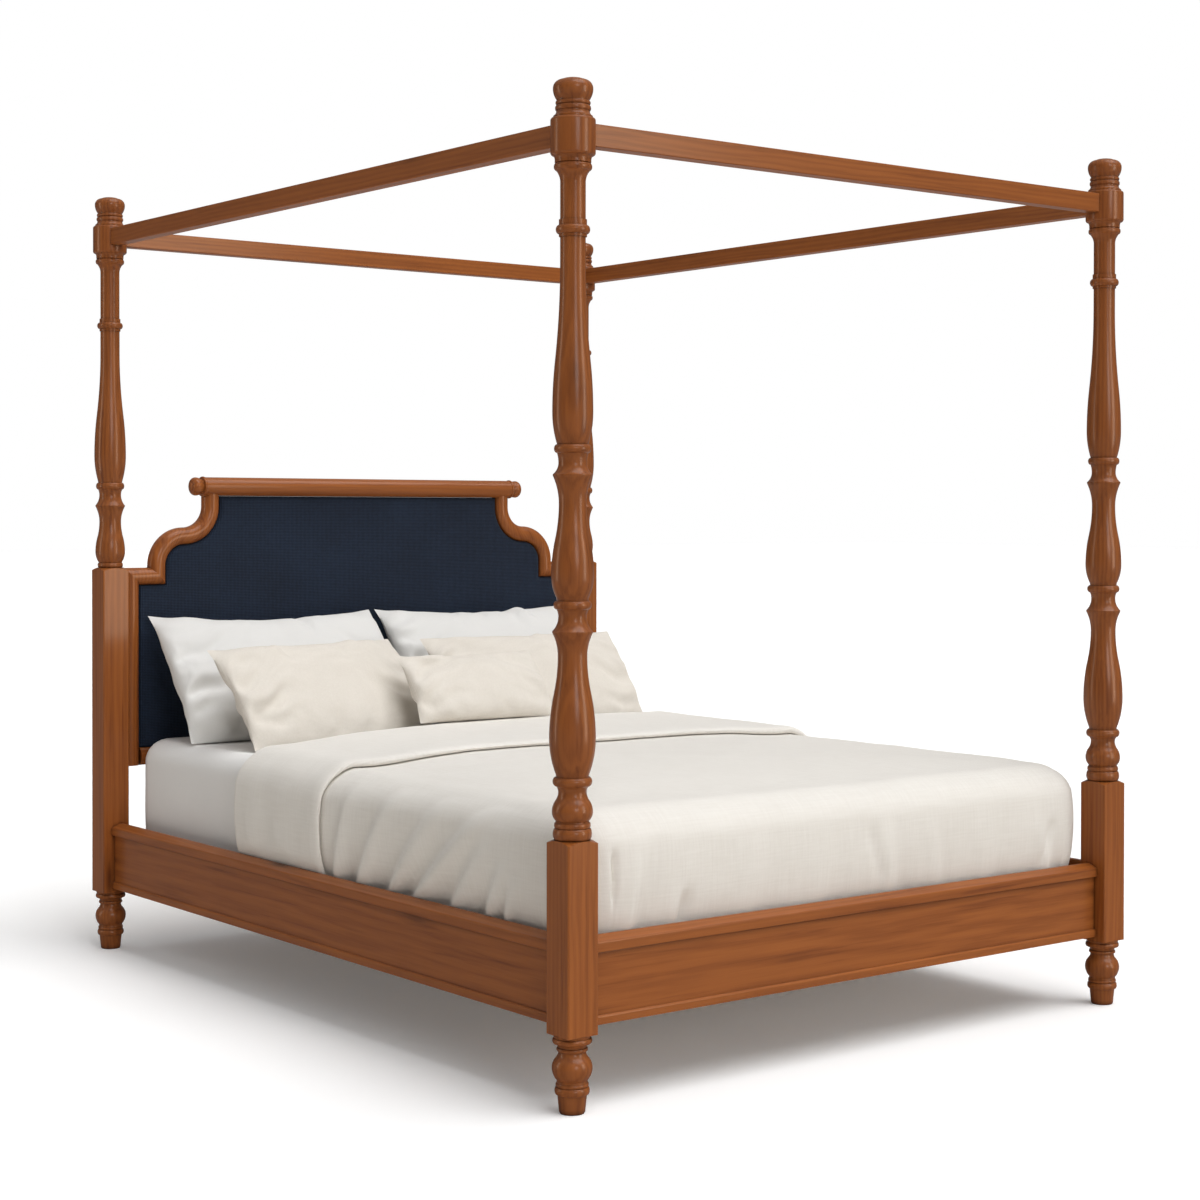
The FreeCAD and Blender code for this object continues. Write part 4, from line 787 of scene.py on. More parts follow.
def sweep(route, back, mitres=(0, 0)):
    """Moulding along a route of x and z points: points, faces and places for the grain. A mitre of 1 or -1
    slants that end by 45 degrees."""
    section = moulding_section()
    points = []
    grain = []
    travelled = 0.0
    last = len(route) - 1
    for number, here in enumerate(route):
        before = route[max(number - 1, 0)]
        after = route[min(number + 1, last)]
        along = Vector((after[0] - before[0], after[1] - before[1])).normalized()
        travelled += math.dist(here, before)
        slant = mitres[0] if number == 0 else mitres[1] if number == last else 0
        for across, forward in section:
            x = here[0] + along.y * across + along.x * slant * across
            z = here[1] - along.x * across + along.y * slant * across
            points.append((x, back - forward, z))
            grain.append((across + here[0], forward, travelled + route[0][1]))
    faces = tube_faces(len(route), len(section)) + end_faces(len(route), len(section))
    return points, faces, grain


def grained_piece(name, shapes, node):
    """A piece of moulding whose grain follows its own length."""
    shape = joined([shape[:2] for shape in shapes])
    piece = mesh_piece(name, *shape, "frame", "cherry_wood", CHERRY["run"], (node,))
    run = piece.data.attributes.new("run", "FLOAT_VECTOR", "POINT")
    run.data.foreach_set("vector", [value for shape in shapes for place in shape[2] for value in place])


def ogee_route(x, spring, lower, upper, sign):
    """Quarter arc inwards and quarter arc up, each of its own radius, as x and z."""
    turns = angles(QUARTER_TURN, SCROLL_STEPS)
    shifts = [(lower * (1 - math.cos(turn)), lower * math.sin(turn)) for turn in turns]
    shifts += [(lower + upper * math.sin(turn), lower + upper * (1 - math.cos(turn))) for turn in turns]
    return [(x, spring)] + [(x - sign * inward, spring + up) for inward, up in shifts]


def scroll_route(x, bottom, top, sign):
    """Riser, ogee and riser, as x and z."""
    ogee = ogee_route(x, bottom + SCROLL_RISER, SCROLL_RADIUS, SCROLL_RADIUS, sign)
    return [(x, bottom)] + ogee + [(ogee[-1][0], top)]


def make_headboard_frame():
    top = sum(corner.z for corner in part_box("headboard_top_rail")) / 2
    scrolls = []
    for side, sign in zip(SIDES, (-1, 1)):
        low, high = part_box(f"headboard_stile_{side}")
        back = high.y
        stile_x = (low.x + high.x) / 2
        shoulder_low, shoulder_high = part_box(f"headboard_shoulder_{side}")
        level = (shoulder_low.z + shoulder_high.z) / 2
        scroll_x = (shoulder_low.x if sign > 0 else shoulder_high.x) + sign * MOULDING_WIDTH / 2
        stile = sweep([(stile_x, low.z), (stile_x, level)], back, (0, sign))
        grained_piece(f"stile_moulding_{side}", [stile], f"headboard_stile_{side}")
        shoulder = sweep([(stile_x, level), (scroll_x, level)], back, (-sign, -sign))
        grained_piece(f"shoulder_moulding_{side}", [shoulder], f"headboard_shoulder_{side}")
        scrolls.append(sweep(scroll_route(scroll_x, level, top, sign), back, (sign, 0)))
    grained_piece("scroll_mouldings", scrolls, "headboard_scrolls")


def eased(node, material):
    """A solid of the frame with its long outer edges rounded over."""
    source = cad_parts[node]
    shape = bmesh.new()
    shape.from_mesh(source.data)
    bmesh.ops.transform(shape, matrix=source.matrix_world, verts=shape.verts)
    bmesh.ops.remove_doubles(shape, verts=shape.verts, dist=SAME_PLACE)
    bmesh.ops.dissolve_limit(shape, angle_limit=FLAT_ANGLE, verts=shape.verts, edges=shape.edges)
    low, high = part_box(node)

    def outside(face):
        """Whether a face is a large one at the surface of the solid's box."""
        centre = face.calc_center_median()
        gaps = [min(abs(at - least), abs(at - most)) for at, least, most in zip(centre, low, high)]
        return min(gaps) < EASED_REACH and face.calc_area() > EASED_AREA

    edges = [edge for edge in shape.edges if edge.is_manifold and edge.is_convex]
    edges = [edge for edge in edges if edge.calc_length() > EASED_LENGTH]
    edges = [edge for edge in edges if edge.calc_face_angle() > EASED_ANGLE]
    edges = [edge for edge in edges if all(outside(face) for face in edge.link_faces)]
    bmesh.ops.bevel(
        shape, geom=edges, offset=EASED_EDGE, offset_type="OFFSET", segments=EASED_STEPS, profile=0.5,
        affect="EDGES", clamp_overlap=True,
    )
    bmesh.ops.dissolve_degenerate(shape, edges=shape.edges, dist=SAME_PLACE)
    shape.verts.index_update()
    points = [tuple(vertex.co) for vertex in shape.verts]
    faces = [tuple(vertex.index for vertex in face.verts) for face in shape.faces]
    shape.free()
    piece = mesh_piece(f"eased_{node}", points, faces, "frame", "cherry_wood", material, (node,), crease=50)
    even = piece.modifiers.new("flat_faces_stay_flat", "WEIGHTED_NORMAL")
    even.keep_sharp = True
    even.weight = FLAT_WEIGHT


def paint_solids():
    """Materials of the solids, and rounded copies of the timber that shows."""
    along_y = [f"side_rail_{side}{piece}" for side in SIDES for piece in ("", "_cap", "_bead")]
    looks = {
        CHERRY["X"]: ("foot_rail", "foot_rail_cap", "foot_rail_bead", "head_rail", "headboard_bottom_rail",
                      "canopy_rail_foot", "canopy_rail_head"),
        CHERRY["Y"]: (*along_y, "canopy_rail_left", "canopy_rail_right"),
        CHERRY["Z"]: [f"lower_post_{end}_{side}" for end in ("foot", "head") for side in SIDES],
        PALE["X"]: ("slats", "headboard_panel"),
        PALE["Y"]: ("slat_ledger_left", "slat_ledger_right", "centre_beam"),
        PALE["Z"]: ("centre_legs", "foot_tenons", "post_tenons", "finial_tenons"),
        STEEL: ("rail_hook_plates", "post_hook_plates", "beam_hangers"),
        GLIDE: ("leg_glides",),
    }
    hidden = ("head_rail", "headboard_bottom_rail")
    for material, nodes in looks.items():
        for node in nodes:
            if material in CHERRY.values() and node not in hidden and not node.endswith("_bead"):
                eased(node, material)
            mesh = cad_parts[node].data
            mesh.materials.clear()
            mesh.materials.append(material)


def make_upholstery():
    """Pad inside the headboard frame with a soft rounded edge."""
    node = "headboard_upholstery"
    low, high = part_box(node)
    outline = pad_outline(low, high)
    rings = pad_rings()
    points = []
    for depth_share, inset in rings:
        for x, z in inset_outline(outline, inset):
            points.append((x, high.y - (high.y - low.y) * depth_share, z))
    faces = tube_faces(len(rings), len(outline)) + end_faces(len(rings), len(outline))
    piece = mesh_piece("headboard_pad", points, faces, "frame", "navy_linen", NAVY, (node,), crease=60)


def pad_rings():
    """Depth shares and insets of the pad's outline from its back to its front."""
    rings = [(0.0, 0.0), (PAD_SIDE_SHARE, 0.0)]
    for angle in angles(QUARTER_TURN):
        depth_share = PAD_SIDE_SHARE + (1 - PAD_SIDE_SHARE) * math.sin(angle)
        rings.append((depth_share, PAD_ROUND * (1 - math.cos(angle))))
    return rings


def pad_outline(low, high):
    """Outline of the pad as x and z: straight sides, level shoulders and ogee corners under the top rail."""
    shoulder_low, shoulder_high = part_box("headboard_shoulder_right")
    half = MOULDING_WIDTH / 2
    spring = (shoulder_low.z + shoulder_high.z) / 2 + SCROLL_RISER
    right = [(high.x, low.z), (high.x, shoulder_low.z), (shoulder_low.x, shoulder_low.z)]
    right += ogee_route(shoulder_low.x, spring, SCROLL_RADIUS - half, SCROLL_RADIUS + half, 1)
    right.append((right[-1][0], high.z))
    return right + [(-x, z) for x, z in reversed(right)]


def inset_outline(outline, inset):
    """Closed outline moved inwards by the same amount all round."""
    moved = []
    count = len(outline)
    for number in range(count):
        before = Vector(outline[number - 1])
        here = Vector(outline[number])
        after = Vector(outline[(number + 1) % count])
        first = (here - before).normalized()
        second = (after - here).normalized()
        bisector = Vector((-first.y, first.x)) + Vector((-second.y, second.x))
        scale = inset * 2 / max(bisector.length_squared, LEAST_BISECTOR)
        moved.append(tuple(here + bisector * scale))
    return moved


def waver(places, scale, seed):
    """Smooth noise between about -1 and 1 at each place."""
    shift = Vector((seed, 2.7 * seed, -seed))
    return np.array([noise.noise(Vector(place) * scale + shift) for place in places])


def wavers(places, waves):
    """Sum of noise at each place of an array of any shape; a wave is a scale, a seed and a height."""
    spots = places.reshape(-1, 3)
    return sum(height * waver(spots, scale, seed) for scale, seed, height in waves).reshape(places.shape[:-1])


def hump(distance, reach):
    """Smooth hump of height 1 that fades over a reach."""
    return np.exp(-(distance / reach) ** 2)


def rounded_outline(half, back, front, radius):
    """Closed outline with round corners as places and outward directions; the number of points is fixed."""
    across, along, turn = SHEET_STEPS
    corners = (
        (half - radius, back + radius, -90, along), (half - radius, front - radius, 0, across),
        (-half + radius, front - radius, 90, along), (-half + radius, back + radius, 180, across),
    )
    places = []
    ways = []
    for number, (x, y, start, straight) in enumerate(corners):
        next_x, next_y = corners[(number + 1) % len(corners)][:2]
        for step in range(turn + straight):
            angle = math.radians(start + 90 * min(step, turn) / turn)
            way = (math.cos(angle), math.sin(angle))
            share = max(step - turn, 0) / straight
            at_x = x + (next_x - x) * share
            at_y = y + (next_y - y) * share
            ways.append(way)
            places.append((at_x + radius * way[0], at_y + radius * way[1]))
    return np.array(places), np.array(ways)


def mattress_profile(tall):
    """Rows of the sheet from underneath, up the side and over the top: inset from the side and height."""
    profile = [(inset, 0.0) for inset in SHEET_UNDER_INSETS]
    for angle in angles(QUARTER_TURN, first=0):
        profile.append((SHEET_FOOT_ROUND * (1 - math.sin(angle)), SHEET_FOOT_ROUND * (1 - math.cos(angle))))
    straight = tall - SHEET_SHOULDER - SHEET_FOOT_ROUND
    for number in range(1, SHEET_ROWS):
        profile.append((0.0, SHEET_FOOT_ROUND + straight * number / SHEET_ROWS))
    for angle in angles(QUARTER_TURN, first=0):
        inset = SHEET_SHOULDER * (1 - math.cos(angle))
        profile.append((inset, tall - SHEET_SHOULDER * (1 - math.sin(angle))))
    return profile + [(inset, tall) for inset in SHEET_TOP_INSETS]


def make_mattress():
    """Mattress in a fitted sheet with a few drag marks at its corners."""
    low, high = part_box("mattress")
    tall = high.z - low.z
    centre = (low + high) / 2
    profile = mattress_profile(tall)
    points = []
    flat = []
    climbed = 0.0
    before = profile[0]
    for inset, height in profile:
        radius = max(SHEET_CORNER - inset, SHEET_LEAST_CORNER)
        places, ways = rounded_outline(high.x - inset, low.y + inset, high.y - inset, radius)
        climbed += math.dist(before, (inset, height))
        before = (inset, height)
        if inset < SHEET_SIDE_INSET:
            paced = np.concatenate([[0.0], np.cumsum(np.hypot(*np.diff(places, axis=0).T))])
            flat.append(np.column_stack([paced, np.full(len(places), climbed)]))
        else:
            flat.append(places)
        spots = np.column_stack([places, np.full(len(places), height)])
        slack = SHEET_SLACK * (1 - wavers(spots, SHEET_WAVES)) / 2
        gaps = np.abs(np.abs(places - centre.xy) - (high - centre).xy)
        turn = np.arctan2(ways[:, 1], ways[:, 0])
        drag = np.abs(np.sin(turn * SHEET_DRAG_COUNT + SHEET_DRAG_SLANT * height))
        drag = SHEET_DRAG * drag * hump(gaps.min(axis=1), SHEET_DRAG_REACH)
        side = max(0.0, math.sin(math.pi * min(height / tall, 1.0)))
        pushed = inset < SHEET_PUSHED_INSET
        push = (slack + side * drag + SHEET_TUCK * (1 - side)) * pushed
        sink = slack * (not pushed and height > tall / 2)
        points.append(np.column_stack([places - ways * push[:, None], low.z + height - sink]))
    rings = len(points)
    sides = len(points[0])
    faces = tube_faces(rings, sides) + end_faces(rings, sides)
    nodes = ("mattress",)
    points = np.concatenate(points)
    piece = mesh_piece("sheeted_mattress", points, faces, "mattress", "white_cotton", SHEET, nodes, crease=70)
    lay_cloth(piece, np.concatenate(flat))


def duvet_surface(across, along, lift):
    """Places on the duvet for distances across and along its cloth, raised along the surface's own normal;
    how far down each one hangs, the way it faces and its slope."""
    past_side = np.maximum(np.abs(across) - DUVET_CORE, 0)
    past_foot = np.maximum(DUVET_CORE_FOOT - along, 0)
    past = np.maximum(past_side, past_foot)
    eighth = math.pi / 4 * np.minimum(past_side, past_foot) / np.maximum(past, SAME_PLACE)
    heading = np.where(past_side >= past_foot, eighth, QUARTER_TURN - eighth)
    slope = np.clip((past - DUVET_FLAT) / DUVET_SHOULDER, 0, QUARTER_TURN)
    out = np.where(past < DUVET_FLAT, past, DUVET_FLAT + DUVET_SHOULDER * np.sin(slope))
    out = out + lift * np.sin(slope)
    down = DUVET_SHOULDER * (1 - np.cos(slope)) + np.maximum(past - DUVET_FLAT - DUVET_BEND, 0)
    x = np.sign(across) * (np.minimum(np.abs(across), DUVET_CORE) + out * np.cos(heading))
    y = np.maximum(along, DUVET_CORE_FOOT) - out * np.sin(heading)
    z = DUVET_TOP - down + lift * np.cos(slope)
    shoulder = DUVET_FLAT + DUVET_BEND / 2
    hang = np.maximum(past - shoulder, 0) / (DUVET_FALL - shoulder)
    return np.stack([x, y, z], -1), hang, heading, slope


def fold_height(folds, place, hang):
    """Height of slanting folds at places along a hanging side; hang is 0 at the shoulder and 1 at the hem."""
    hollow, hollow_place, hollow_width = FOLD_HOLLOW_SHARES
    height = np.zeros_like(place)
    for top, hem, tall, width, start in folds:
        offset = place - top - (hem - top) * hang
        grown = np.clip((hang - start) / (FOLD_END - start), 0, 1)
        grown = grown * grown * (3 - 2 * grown)
        crest = hump(offset, width) - hollow * hump(offset - hollow_place * width, hollow_width * width)
        height += tall * grown ** FOLD_GROWTH * crest
    return height


def crease_depth(creases, place, hang):
    """Depth of short creases with soft ends at places along a hanging side."""
    depth = np.zeros_like(place)
    for upper, lower, start, end, deep, width in creases:
        share = np.clip((hang - start) / (end - start), 0, 1)
        beyond = np.maximum(np.abs(hang - (start + end) / 2) - (end - start) / 2, 0)
        offset = place - upper - (lower - upper) * share
        depth += deep * hump(offset, width) * hump(beyond, FOOT_CREASE_FADE)
    return depth


def duvet_rows(across, head):
    """Rows of the duvet's outside from the hem to the head edge: place along the cloth and loft."""
    front = sum((tall * np.sin(across * rate + start) for tall, rate, start in BAND_WAVES), BAND_FRONT)
    count = round((BAND_FRONT - DUVET_HEM_LINE) / DUVET_SPACING)
    length = front + BAND_LAST_ROW - DUVET_HEM_LINE
    rows = [(DUVET_HEM_LINE + length * number / count, 0.0) for number in range(count + 1)]
    rows += [(front + shift, loft) for shift, loft in BAND_LIP]
    count = round((HEAD_EDGE_MIDDLE - BAND_FRONT) / DUVET_SPACING)
    start = front + BAND_FIRST_ROW
    length = head - HEAD_EDGE_ROUND - start
    rows += [(start + length * number / count, BAND_LOFT) for number in range(count + 1)]
    for angle in angles(HEAD_EDGE_CURL):
        drop = BAND_LOFT - HEAD_EDGE_ROUND * (1 - math.cos(angle))
        rows.append((head - HEAD_EDGE_ROUND * (1 - math.sin(angle)), drop))
    along = np.array([row[0] for row in rows])
    loft = np.array([np.full_like(across, row[1]) for row in rows])
    return along, loft


def duvet_lift(wide, along, loft):
    """How far the duvet's outside stands off its smooth surface: loft, puff, ripples, folds and bulge."""
    places, hang, heading, slope = duvet_surface(wide, along, np.zeros_like(along))
    inward = np.minimum(DUVET_SIDE - np.abs(places[..., 0]), places[..., 1] - DUVET_FOOT)
    droop = DUVET_DROOP * hump(np.maximum(inward - DUVET_SHOULDER, 0), DUVET_DROOP_REACH) * np.cos(slope)
    puff = wavers(places, DUVET_PUFF) + DUVET_PUFF_BASE - droop
    puff = puff + wavers(places @ np.array(DUVET_RIPPLE_SLANT).T, DUVET_RIPPLE) * np.cos(slope)
    hanging = hang > 0
    side_share = np.clip(np.cos(heading), 0, 1) ** 2 * hanging
    foot_share = np.clip(np.sin(heading), 0, 1) ** 2 * hanging
    left = fold_height(LEFT_FOLDS, along, hang)
    right = fold_height(RIGHT_FOLDS, along, hang)
    foot = fold_height(FOOT_FOLDS, wide, hang) - crease_depth(FOOT_CREASES, wide, hang)
    folds = np.where(wide < 0, left, right) * side_share + foot * foot_share
    bulge = DUVET_BULGE * np.sin(math.pi * np.clip(hang, 0, 1)) * hanging
    tuck = HEM_TUCK * np.clip((hang - HEM_TUCK_SHARE) / (1 - HEM_TUCK_SHARE), 0, 1) ** 2
    lift = loft + np.where(loft > BAND_LEAST_LOFT, BAND_PUFF_SHARE, 1.0) * puff + folds + bulge - tuck
    seat_across, seat_along, half_across, half_along = CUSHION_SEAT
    pressed = (np.abs(wide - seat_across) < half_across) & (np.abs(along - seat_along) < half_along)
    lift = np.where(pressed, np.minimum(lift, BAND_LOFT), lift)
    room = HEM_ROOM + HIGHER_ROOM * np.clip((HIGHER_SHARE - hang) / ROOM_FADE, 0, 1)
    return np.where(hang > HANGING_SHARE, np.clip(lift, -DEEPEST_CREASE, room), lift)


def duvet_faces(rows, lined, count):
    """Faces of the outside, of the lining under all but its curled rows, and of the edges between them."""
    faces = tube_faces(rows, count, False)
    under = rows * count
    faces += [tuple(under + index for index in reversed(face)) for face in tube_faces(lined, count, False)]
    for row in range(lined - 1):
        low = row * count
        faces.append((low, low + count, under + low + count, under + low))
        low += count - 1
        faces.append((low, under + low, under + low + count, low + count))
    head = (rows - 1) * count
    under_head = under + (lined - 1) * count
    for column in range(count - 1):
        faces.append((column, under + column, under + column + 1, column + 1))
        low = head + column
        faces.append((low, low + 1, under_head + column + 1, under_head + column))
    curled = [row * count for row in range(lined - 1, rows)]
    faces.append((*curled, under_head))
    faces.append((*[low + count - 1 for low in curled], under_head + count - 1)[::-1])
    return faces


def make_duvet():
    """Duvet over the mattress: puffed top, folds down three sides, and its head end turned back in a band."""
    half = DUVET_CORE + DUVET_FALL
    across = np.linspace(-half, half, round(2 * half / DUVET_SPACING) + 1)
    middle, reach, depth = HEAD_EDGE_FULL
    head = HEAD_EDGE_MIDDLE + HEAD_EDGE_SLOPE * np.clip(across, -DUVET_SIDE, DUVET_SIDE)
    head = head + depth * hump(across - middle, reach)
    along, loft = duvet_rows(across, head)
    wide = np.broadcast_to(across, along.shape)
    outside = duvet_surface(wide, along, duvet_lift(wide, along, loft))[0]
    lined = len(along) - ARC_STEPS
    shares = np.linspace(0, 1, lined)[:, None]
    under_along = DUVET_HEM_LINE + (head - HEAD_EDGE_ROUND - DUVET_HEM_LINE) * shares
    under_wide = np.broadcast_to(across, under_along.shape)
    slope = duvet_surface(under_wide, under_along, np.zeros_like(under_along))[3]
    under_lift = -DUVET_LINING_TOP * np.cos(slope) - DUVET_LINING_SIDE * np.sin(slope)
    lining = duvet_surface(under_wide, under_along, under_lift)[0]
    points = np.concatenate([outside.reshape(-1, 3), lining.reshape(-1, 3)])
    faces = duvet_faces(len(along), lined, len(across))
    nodes = ("duvet",)
    piece = mesh_piece("banded_duvet", points, faces, "duvet", "cream_linen", DUVET_CLOTH, nodes, crease=60)
    layers = ((wide, along), (under_wide, under_along))
    lay_cloth(piece, np.concatenate([np.stack(layer, -1).reshape(-1, 2) for layer in layers]))


def envelope(width, height, seed):
    """Flat pillow case of two layers joined round the edge: places, faces and the vertex at each layer, row
    and column."""
    columns = round(width / PILLOW_SPACING)
    rows = round(height / PILLOW_SPACING)
    grid = np.zeros((2, rows + 1, columns + 1), dtype=int)
    places = []
    for layer, way in enumerate((-1, 1)):
        for row in range(rows + 1):
            for column in range(columns + 1):
                on_seam = row in (0, rows) or column in (0, columns)
                if on_seam and layer:
                    grid[layer, row, column] = grid[0, row, column]
                    continue
                grid[layer, row, column] = len(places)
                x = width * (column / columns - 0.5)
                z = height * row / rows
                rough = noise.noise((x * CASE_NOISE_SCALE + seed, way, z * CASE_NOISE_SCALE))
                start = 0.0 if on_seam else way * (CASE_START + CASE_NOISE * rough)
                places.append((x, start, z))
    faces = []
    for layer, vertices in enumerate(grid.tolist()):
        for below, above in zip(vertices, vertices[1:]):
            for column in range(columns):
                face = (below[column], below[column + 1], above[column + 1], above[column])
                faces.append(face[::-1] if layer else face)
    return places, faces, grid


def blown_up(cases):
    """Pillow cases filled by the cloth solver, all in one run; the filled places of each case."""
    scene = bpy.context.scene
    blown = []
    for places, faces, _ in cases:
        mesh = bpy.data.meshes.new("case")
        mesh.from_pydata(places, [], faces)
        case = linked("case", mesh)
        solver = case.modifiers.new("fill", "CLOTH")
        for name, value in PILLOW_SOLVER.items():
            setattr(solver.settings, name, value)
        solver.settings.effector_weights.gravity = 0
        solver.collision_settings.use_collision = False
        solver.point_cache.frame_start = 1
        solver.point_cache.frame_end = PILLOW_FRAMES
        blown.append(case)
    for number in range(1, PILLOW_FRAMES + 1):
        scene.frame_set(number)
    graph = bpy.context.evaluated_depsgraph_get()
    filled = []
    for case in blown:
        mesh = case.evaluated_get(graph).data
        flat = np.empty(len(mesh.vertices) * 3)
        mesh.vertices.foreach_get("co", flat)
        filled.append(flat.reshape(-1, 3))
    for case in blown:
        mesh = case.data
        bpy.data.objects.remove(case)
        bpy.data.meshes.remove(mesh)
    scene.frame_set(1)
    return filled


def smoothed(places, faces, seam):
    """One round of subdivision with the seam kept as a crease: places and faces."""
    mesh = bpy.data.meshes.new("coarse")
    mesh.from_pydata([tuple(place) for place in places], [], faces)
    crease = mesh.attributes.new("crease_edge", "FLOAT", "EDGE")
    crease.data.foreach_set("value", [SEAM_CREASE * (set(edge.vertices) <= seam) for edge in mesh.edges])
    coarse = linked("coarse", mesh)
    finer = coarse.modifiers.new("finer", "SUBSURF")
    finer.levels = 1
    fine = coarse.evaluated_get(bpy.context.evaluated_depsgraph_get()).to_mesh()
    fine_places = np.array([tuple(vertex.co) for vertex in fine.vertices])
    fine_faces = [tuple(face.vertices) for face in fine.polygons]
    coarse.to_mesh_clear()
    bpy.data.objects.remove(coarse)
    bpy.data.meshes.remove(mesh)
    return fine_places, fine_faces


def softened(values, axis):
    """Values of a grid averaged along one axis with their neighbours."""
    ends = [(0, 0)] * values.ndim
    ends[axis] = (SEAM_BLUR, SEAM_BLUR)
    wide = np.pad(values, ends, mode="reflect", reflect_type="odd")
    weights = hump(np.arange(-SEAM_BLUR, SEAM_BLUR + 1), SEAM_BLUR / 2)
    length = values.shape[axis]
    shifted = [np.take(wide, range(step, step + length), axis) for step in range(len(weights))]
    return sum(weight * part for weight, part in zip(weights / weights.sum(), shifted))


def trued(places, grid, width, height, sag):
    """Filled case stretched back so that its seams run between the corners of its own size, with the cloth
    beside them calmed."""
    filled = places[grid]
    rows = np.linspace(0, 1, grid.shape[1])[None, :, None]
    columns = np.linspace(0, 1, grid.shape[2])[None, None, :]
    low = filled[:, :1, :, 2]
    high = filled[:, -1:, :, 2]
    top = height - sag * (1 - (2 * columns - 1) ** 2)
    filled[..., 2] = (filled[..., 2] - low) / (high - low) * top
    left = filled[:, :, :1, 0].copy()
    right = filled[:, :, -1:, 0].copy()
    half = width / 2 - END_DRAW * (1 - (2 * rows - 1) ** 2)
    filled[..., 0] = ((filled[..., 0] - left) / (right - left) * 2 - 1) * half
    end_gap = width * np.minimum(columns, 1 - columns)
    edge_gap = height * np.minimum(rows, 1 - rows)
    filled = filled + hump(end_gap, SEAM_REACH)[..., None] * (softened(filled, 1) - filled)
    filled = filled + hump(edge_gap, SEAM_REACH)[..., None] * (softened(filled, 2) - filled)
    seams = (
        (filled[:, :1, :, 1], height * rows), (filled[:, -1:, :, 1], height * (1 - rows)),
        (filled[:, :, :1, 1], width * columns), (filled[:, :, -1:, 1], width * (1 - columns)),
    )
    for seam, gap in seams:
        filled[..., 1] = filled[..., 1] - SEAM_CALM * seam * hump(gap, SEAM_REACH)
    shaped = places.copy()
    shaped[grid.reshape(-1)] = filled.reshape(-1, 3)
    return shaped


def creased(shaped, width, height, seed):
    """Short creases that run in from the ends of a pillow and up from its lower seam."""
    x, y, z = shaped.T
    side = np.sign(y)
    inside = width / 2 - np.abs(x)
    end_reach, end_calm = CREASE_END
    foot_reach, foot_calm = CREASE_FOOT
    near_end = hump(inside, end_reach) * (1 - hump(inside, end_calm))
    near_foot = hump(z, foot_reach) * (1 - hump(z, foot_calm))
    spots = np.column_stack([x, side, z])
    slanted = spots * CREASE_SLANTED
    slanted[:, 2] += np.abs(x) * CREASE_SLANT
    end_noise = near_end * waver(slanted, 1.0, seed)
    foot_noise = near_foot * waver(spots * CREASE_UPRIGHT, 1.0, seed + CREASE_FOOT_SEED_STEP)
    lift = CREASE * (end_noise + CREASE_FOOT_SHARE * foot_noise)
    end_share = np.where(x < 0, *END_CREASE_SIDE_SHARES) * min(1.0, height / END_CREASE_FULL_HEIGHT)
    seed_rate, start_rate, reach_rate = END_CREASE_RATES
    for number, (start, slope, deep, wide) in enumerate(END_CREASES):
        begin = height * (start + END_CREASE_START_STRAY * math.sin(seed * seed_rate + number * start_rate))
        reach = END_CREASE_REACH + END_CREASE_REACH_STRAY * math.sin(seed + number * reach_rate)
        sway = END_CREASE_SWAY * np.sin(inside * END_CREASE_SWAY_RATE + seed + number)
        offset = z - begin - slope * inside - sway
        fade = hump(inside - END_CREASE_MIDDLE_SHARE * reach, reach) * (1 - hump(inside, END_CREASE_CALM))
        dip = hump(offset, wide) - END_CREASE_RIDGE_SHARE * hump(offset - 2 * wide, wide)
        lift = lift - deep * fade * end_share * dip
    return np.column_stack([x, y + side * lift, z])


def plumped(places, width, height, thickness, bend_back, seed):
    """Filled case at its own thickness, with creases, forward ends and a top that bends back."""
    shaped = places.copy()
    shaped[:, 1] -= shaped[:, 1].mean()
    shaped[:, 1] *= 2 / np.ptp(shaped[:, 1])
    shaped[:, 1] = np.sign(shaped[:, 1]) * np.abs(shaped[:, 1]) ** FULLNESS * thickness / 2
    shaped = creased(shaped, width, height, seed)
    share = shaped[:, 2] / height
    inside = width / 2 - np.abs(shaped[:, 0])
    shaped[:, 1] *= FOOT_SHARE - TOP_LOSS_SHARE * share
    shaped[:, 1] -= END_ROLL * hump(inside, END_ROLL_REACH) * np.clip(4 * share * (1 - share), 0, 1)
    shaped[:, 1] += bend_back * share ** 2
    return shaped


def make_pillows():
    cases = [envelope(*pillow[1:3], CASE_SEED_STEP * number) for number, pillow in enumerate(PILLOWS)]
    filled = blown_up(cases)
    for number, (pillow, (_, faces, grid), places) in enumerate(zip(PILLOWS, cases, filled)):
        body, width, height, thickness, lean, turn, (x, y), seat, bend_back, sag = pillow
        shaped = trued(places, grid, width, height, sag)
        shaped = plumped(shaped, width, height, thickness, bend_back, CREASE_SEED + number)
        edges = np.concatenate([grid[0, 0], grid[0, -1], grid[0, :, 0], grid[0, :, -1]])
        fine, fine_faces = smoothed(shaped, faces, set(edges.tolist()))
        matrix = Matrix.Translation((x, y, seat)) @ Matrix.Rotation(math.radians(turn), 4, "Z")
        matrix = matrix @ Matrix.Rotation(math.radians(-lean), 4, "X")
        turned = np.array(matrix.to_3x3())
        level = fine @ turned.T
        level[:, 2] = (level[:, 2] + np.sqrt(level[:, 2] ** 2 + SEAT_PRESS ** 2)) / 2 + SEAT_GAP
        slot, look = ("white_cotton", WHITE) if body.startswith("white") else ("cream_linen", CREAM)
        shape = (level @ turned, fine_faces)
        piece = mesh_piece(f"filled_{body}", *shape, body, slot, look, (body,), crease=75, place=matrix)


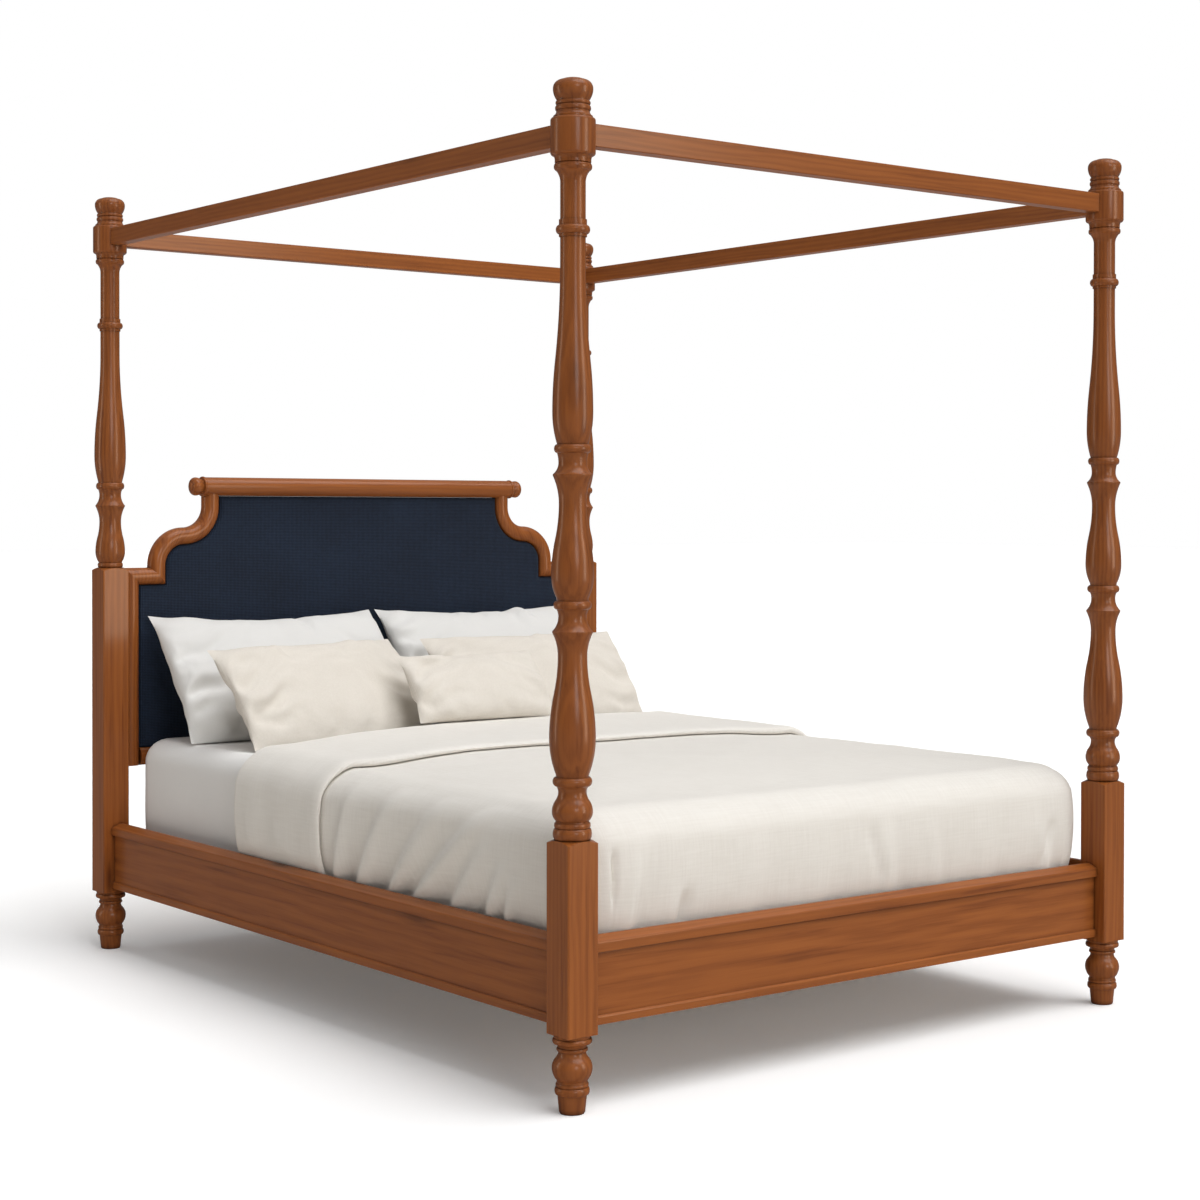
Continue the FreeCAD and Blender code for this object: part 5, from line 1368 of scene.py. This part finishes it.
def make_camera():
    data = bpy.data.cameras.new("photo_camera")
    data.sensor_width = SENSOR_MM
    data.lens = FOCAL_PIXELS / PHOTO_SIZE * SENSOR_MM
    data.shift_y = HORIZON_PIXELS / PHOTO_SIZE
    data.clip_end = CAMERA_REACH
    camera = linked("photo_camera", data)
    forward = Vector((
        math.sin(CAMERA_YAW) * math.cos(CAMERA_PITCH),
        math.cos(CAMERA_YAW) * math.cos(CAMERA_PITCH),
        -math.sin(CAMERA_PITCH),
    ))
    turn = forward.to_track_quat("-Z", "Y").to_matrix().to_4x4() @ Matrix.Rotation(CAMERA_ROLL, 4, "Z")
    camera.matrix_world = Matrix.Translation(CAMERA_PLACE) @ turn
    bpy.context.scene.camera = camera


def make_floor():
    """White floor that keeps the shadow."""
    corners = [(x * FLOOR_HALF, y * FLOOR_HALF, 0.0) for x, y in ((-1, -1), (1, -1), (1, 1), (-1, 1))]
    mesh = bpy.data.meshes.new("floor")
    mesh.from_pydata(corners, [], [(0, 1, 2, 3)])
    nodes = material_nodes("floor_white")
    seen = nodes.add("LightPath", "Is Camera Ray", {})
    mirrored = nodes.add("LightPath", "Is Glossy Ray", {})
    unseen = nodes.mix(mirrored, FLOOR_BOUNCE, FLOOR_MIRRORED)
    material = nodes.shade({
        "Base Color": nodes.mix(seen, unseen, FLOOR_SEEN),
        "Roughness": 0.9,
        "Specular IOR Level": 0.0,
        "Emission Color": PLAIN_WHITE,
        "Emission Strength": nodes.maths("MULTIPLY", seen, FLOOR_GLOW),
    })
    mesh.materials.append(material)
    floor = linked("floor", mesh)


def make_world():
    """A world that is white for the camera and lights the bed softly from above."""
    nodes = Nodes(bpy.data.worlds.new("studio"))
    seen = nodes.add("LightPath", "Is Camera Ray", {})
    height = nodes.add("SeparateXYZ", "Z", {0: nodes.place("Generated")})
    level = nodes.ranged(height, *WORLD_LEVELS)
    soft = nodes.add("Background", "Background", {"Color": PLAIN_WHITE, "Strength": level})
    white = nodes.add("Background", "Background", {"Color": PLAIN_WHITE, "Strength": 1.0})
    blend = nodes.add("MixShader", 0, {0: seen, 1: soft, 2: white})
    bpy.context.scene.world = nodes.surface(blend, "World")


def make_lamps():
    """Soft light from above and from the foot end, and strips for the lacquer to mirror."""
    for name, strength, degrees, way in SUNS:
        sun = bpy.data.lights.new(name, "SUN")
        sun.energy = strength
        sun.angle = math.radians(degrees)
        linked(name, sun).rotation_euler = Vector(way).to_track_quat("-Z", "Y").to_euler()
    for name, place, width, watts in STRIPS:
        panel = bpy.data.lights.new(name, "AREA")
        panel.shape = "RECTANGLE"
        panel.size = width
        panel.size_y = STRIP_TALL
        panel.energy = watts
        panel.color = STRIP_COLOUR
        strip = linked(name, panel)
        aim = Vector(STRIP_AIM) - Vector(place)
        strip.matrix_world = Matrix.Translation(place) @ aim.to_track_quat("-Z", "Y").to_matrix().to_4x4()
        strip.visible_diffuse = False
        strip.visible_camera = False


make_camera()
make_floor()
make_world()
make_lamps()
bpy.context.scene.view_settings.view_transform = "Standard"
paint_solids()
make_posts()
make_top_rail()
make_headboard_frame()
make_upholstery()
make_mattress()
make_duvet()
make_pillows()
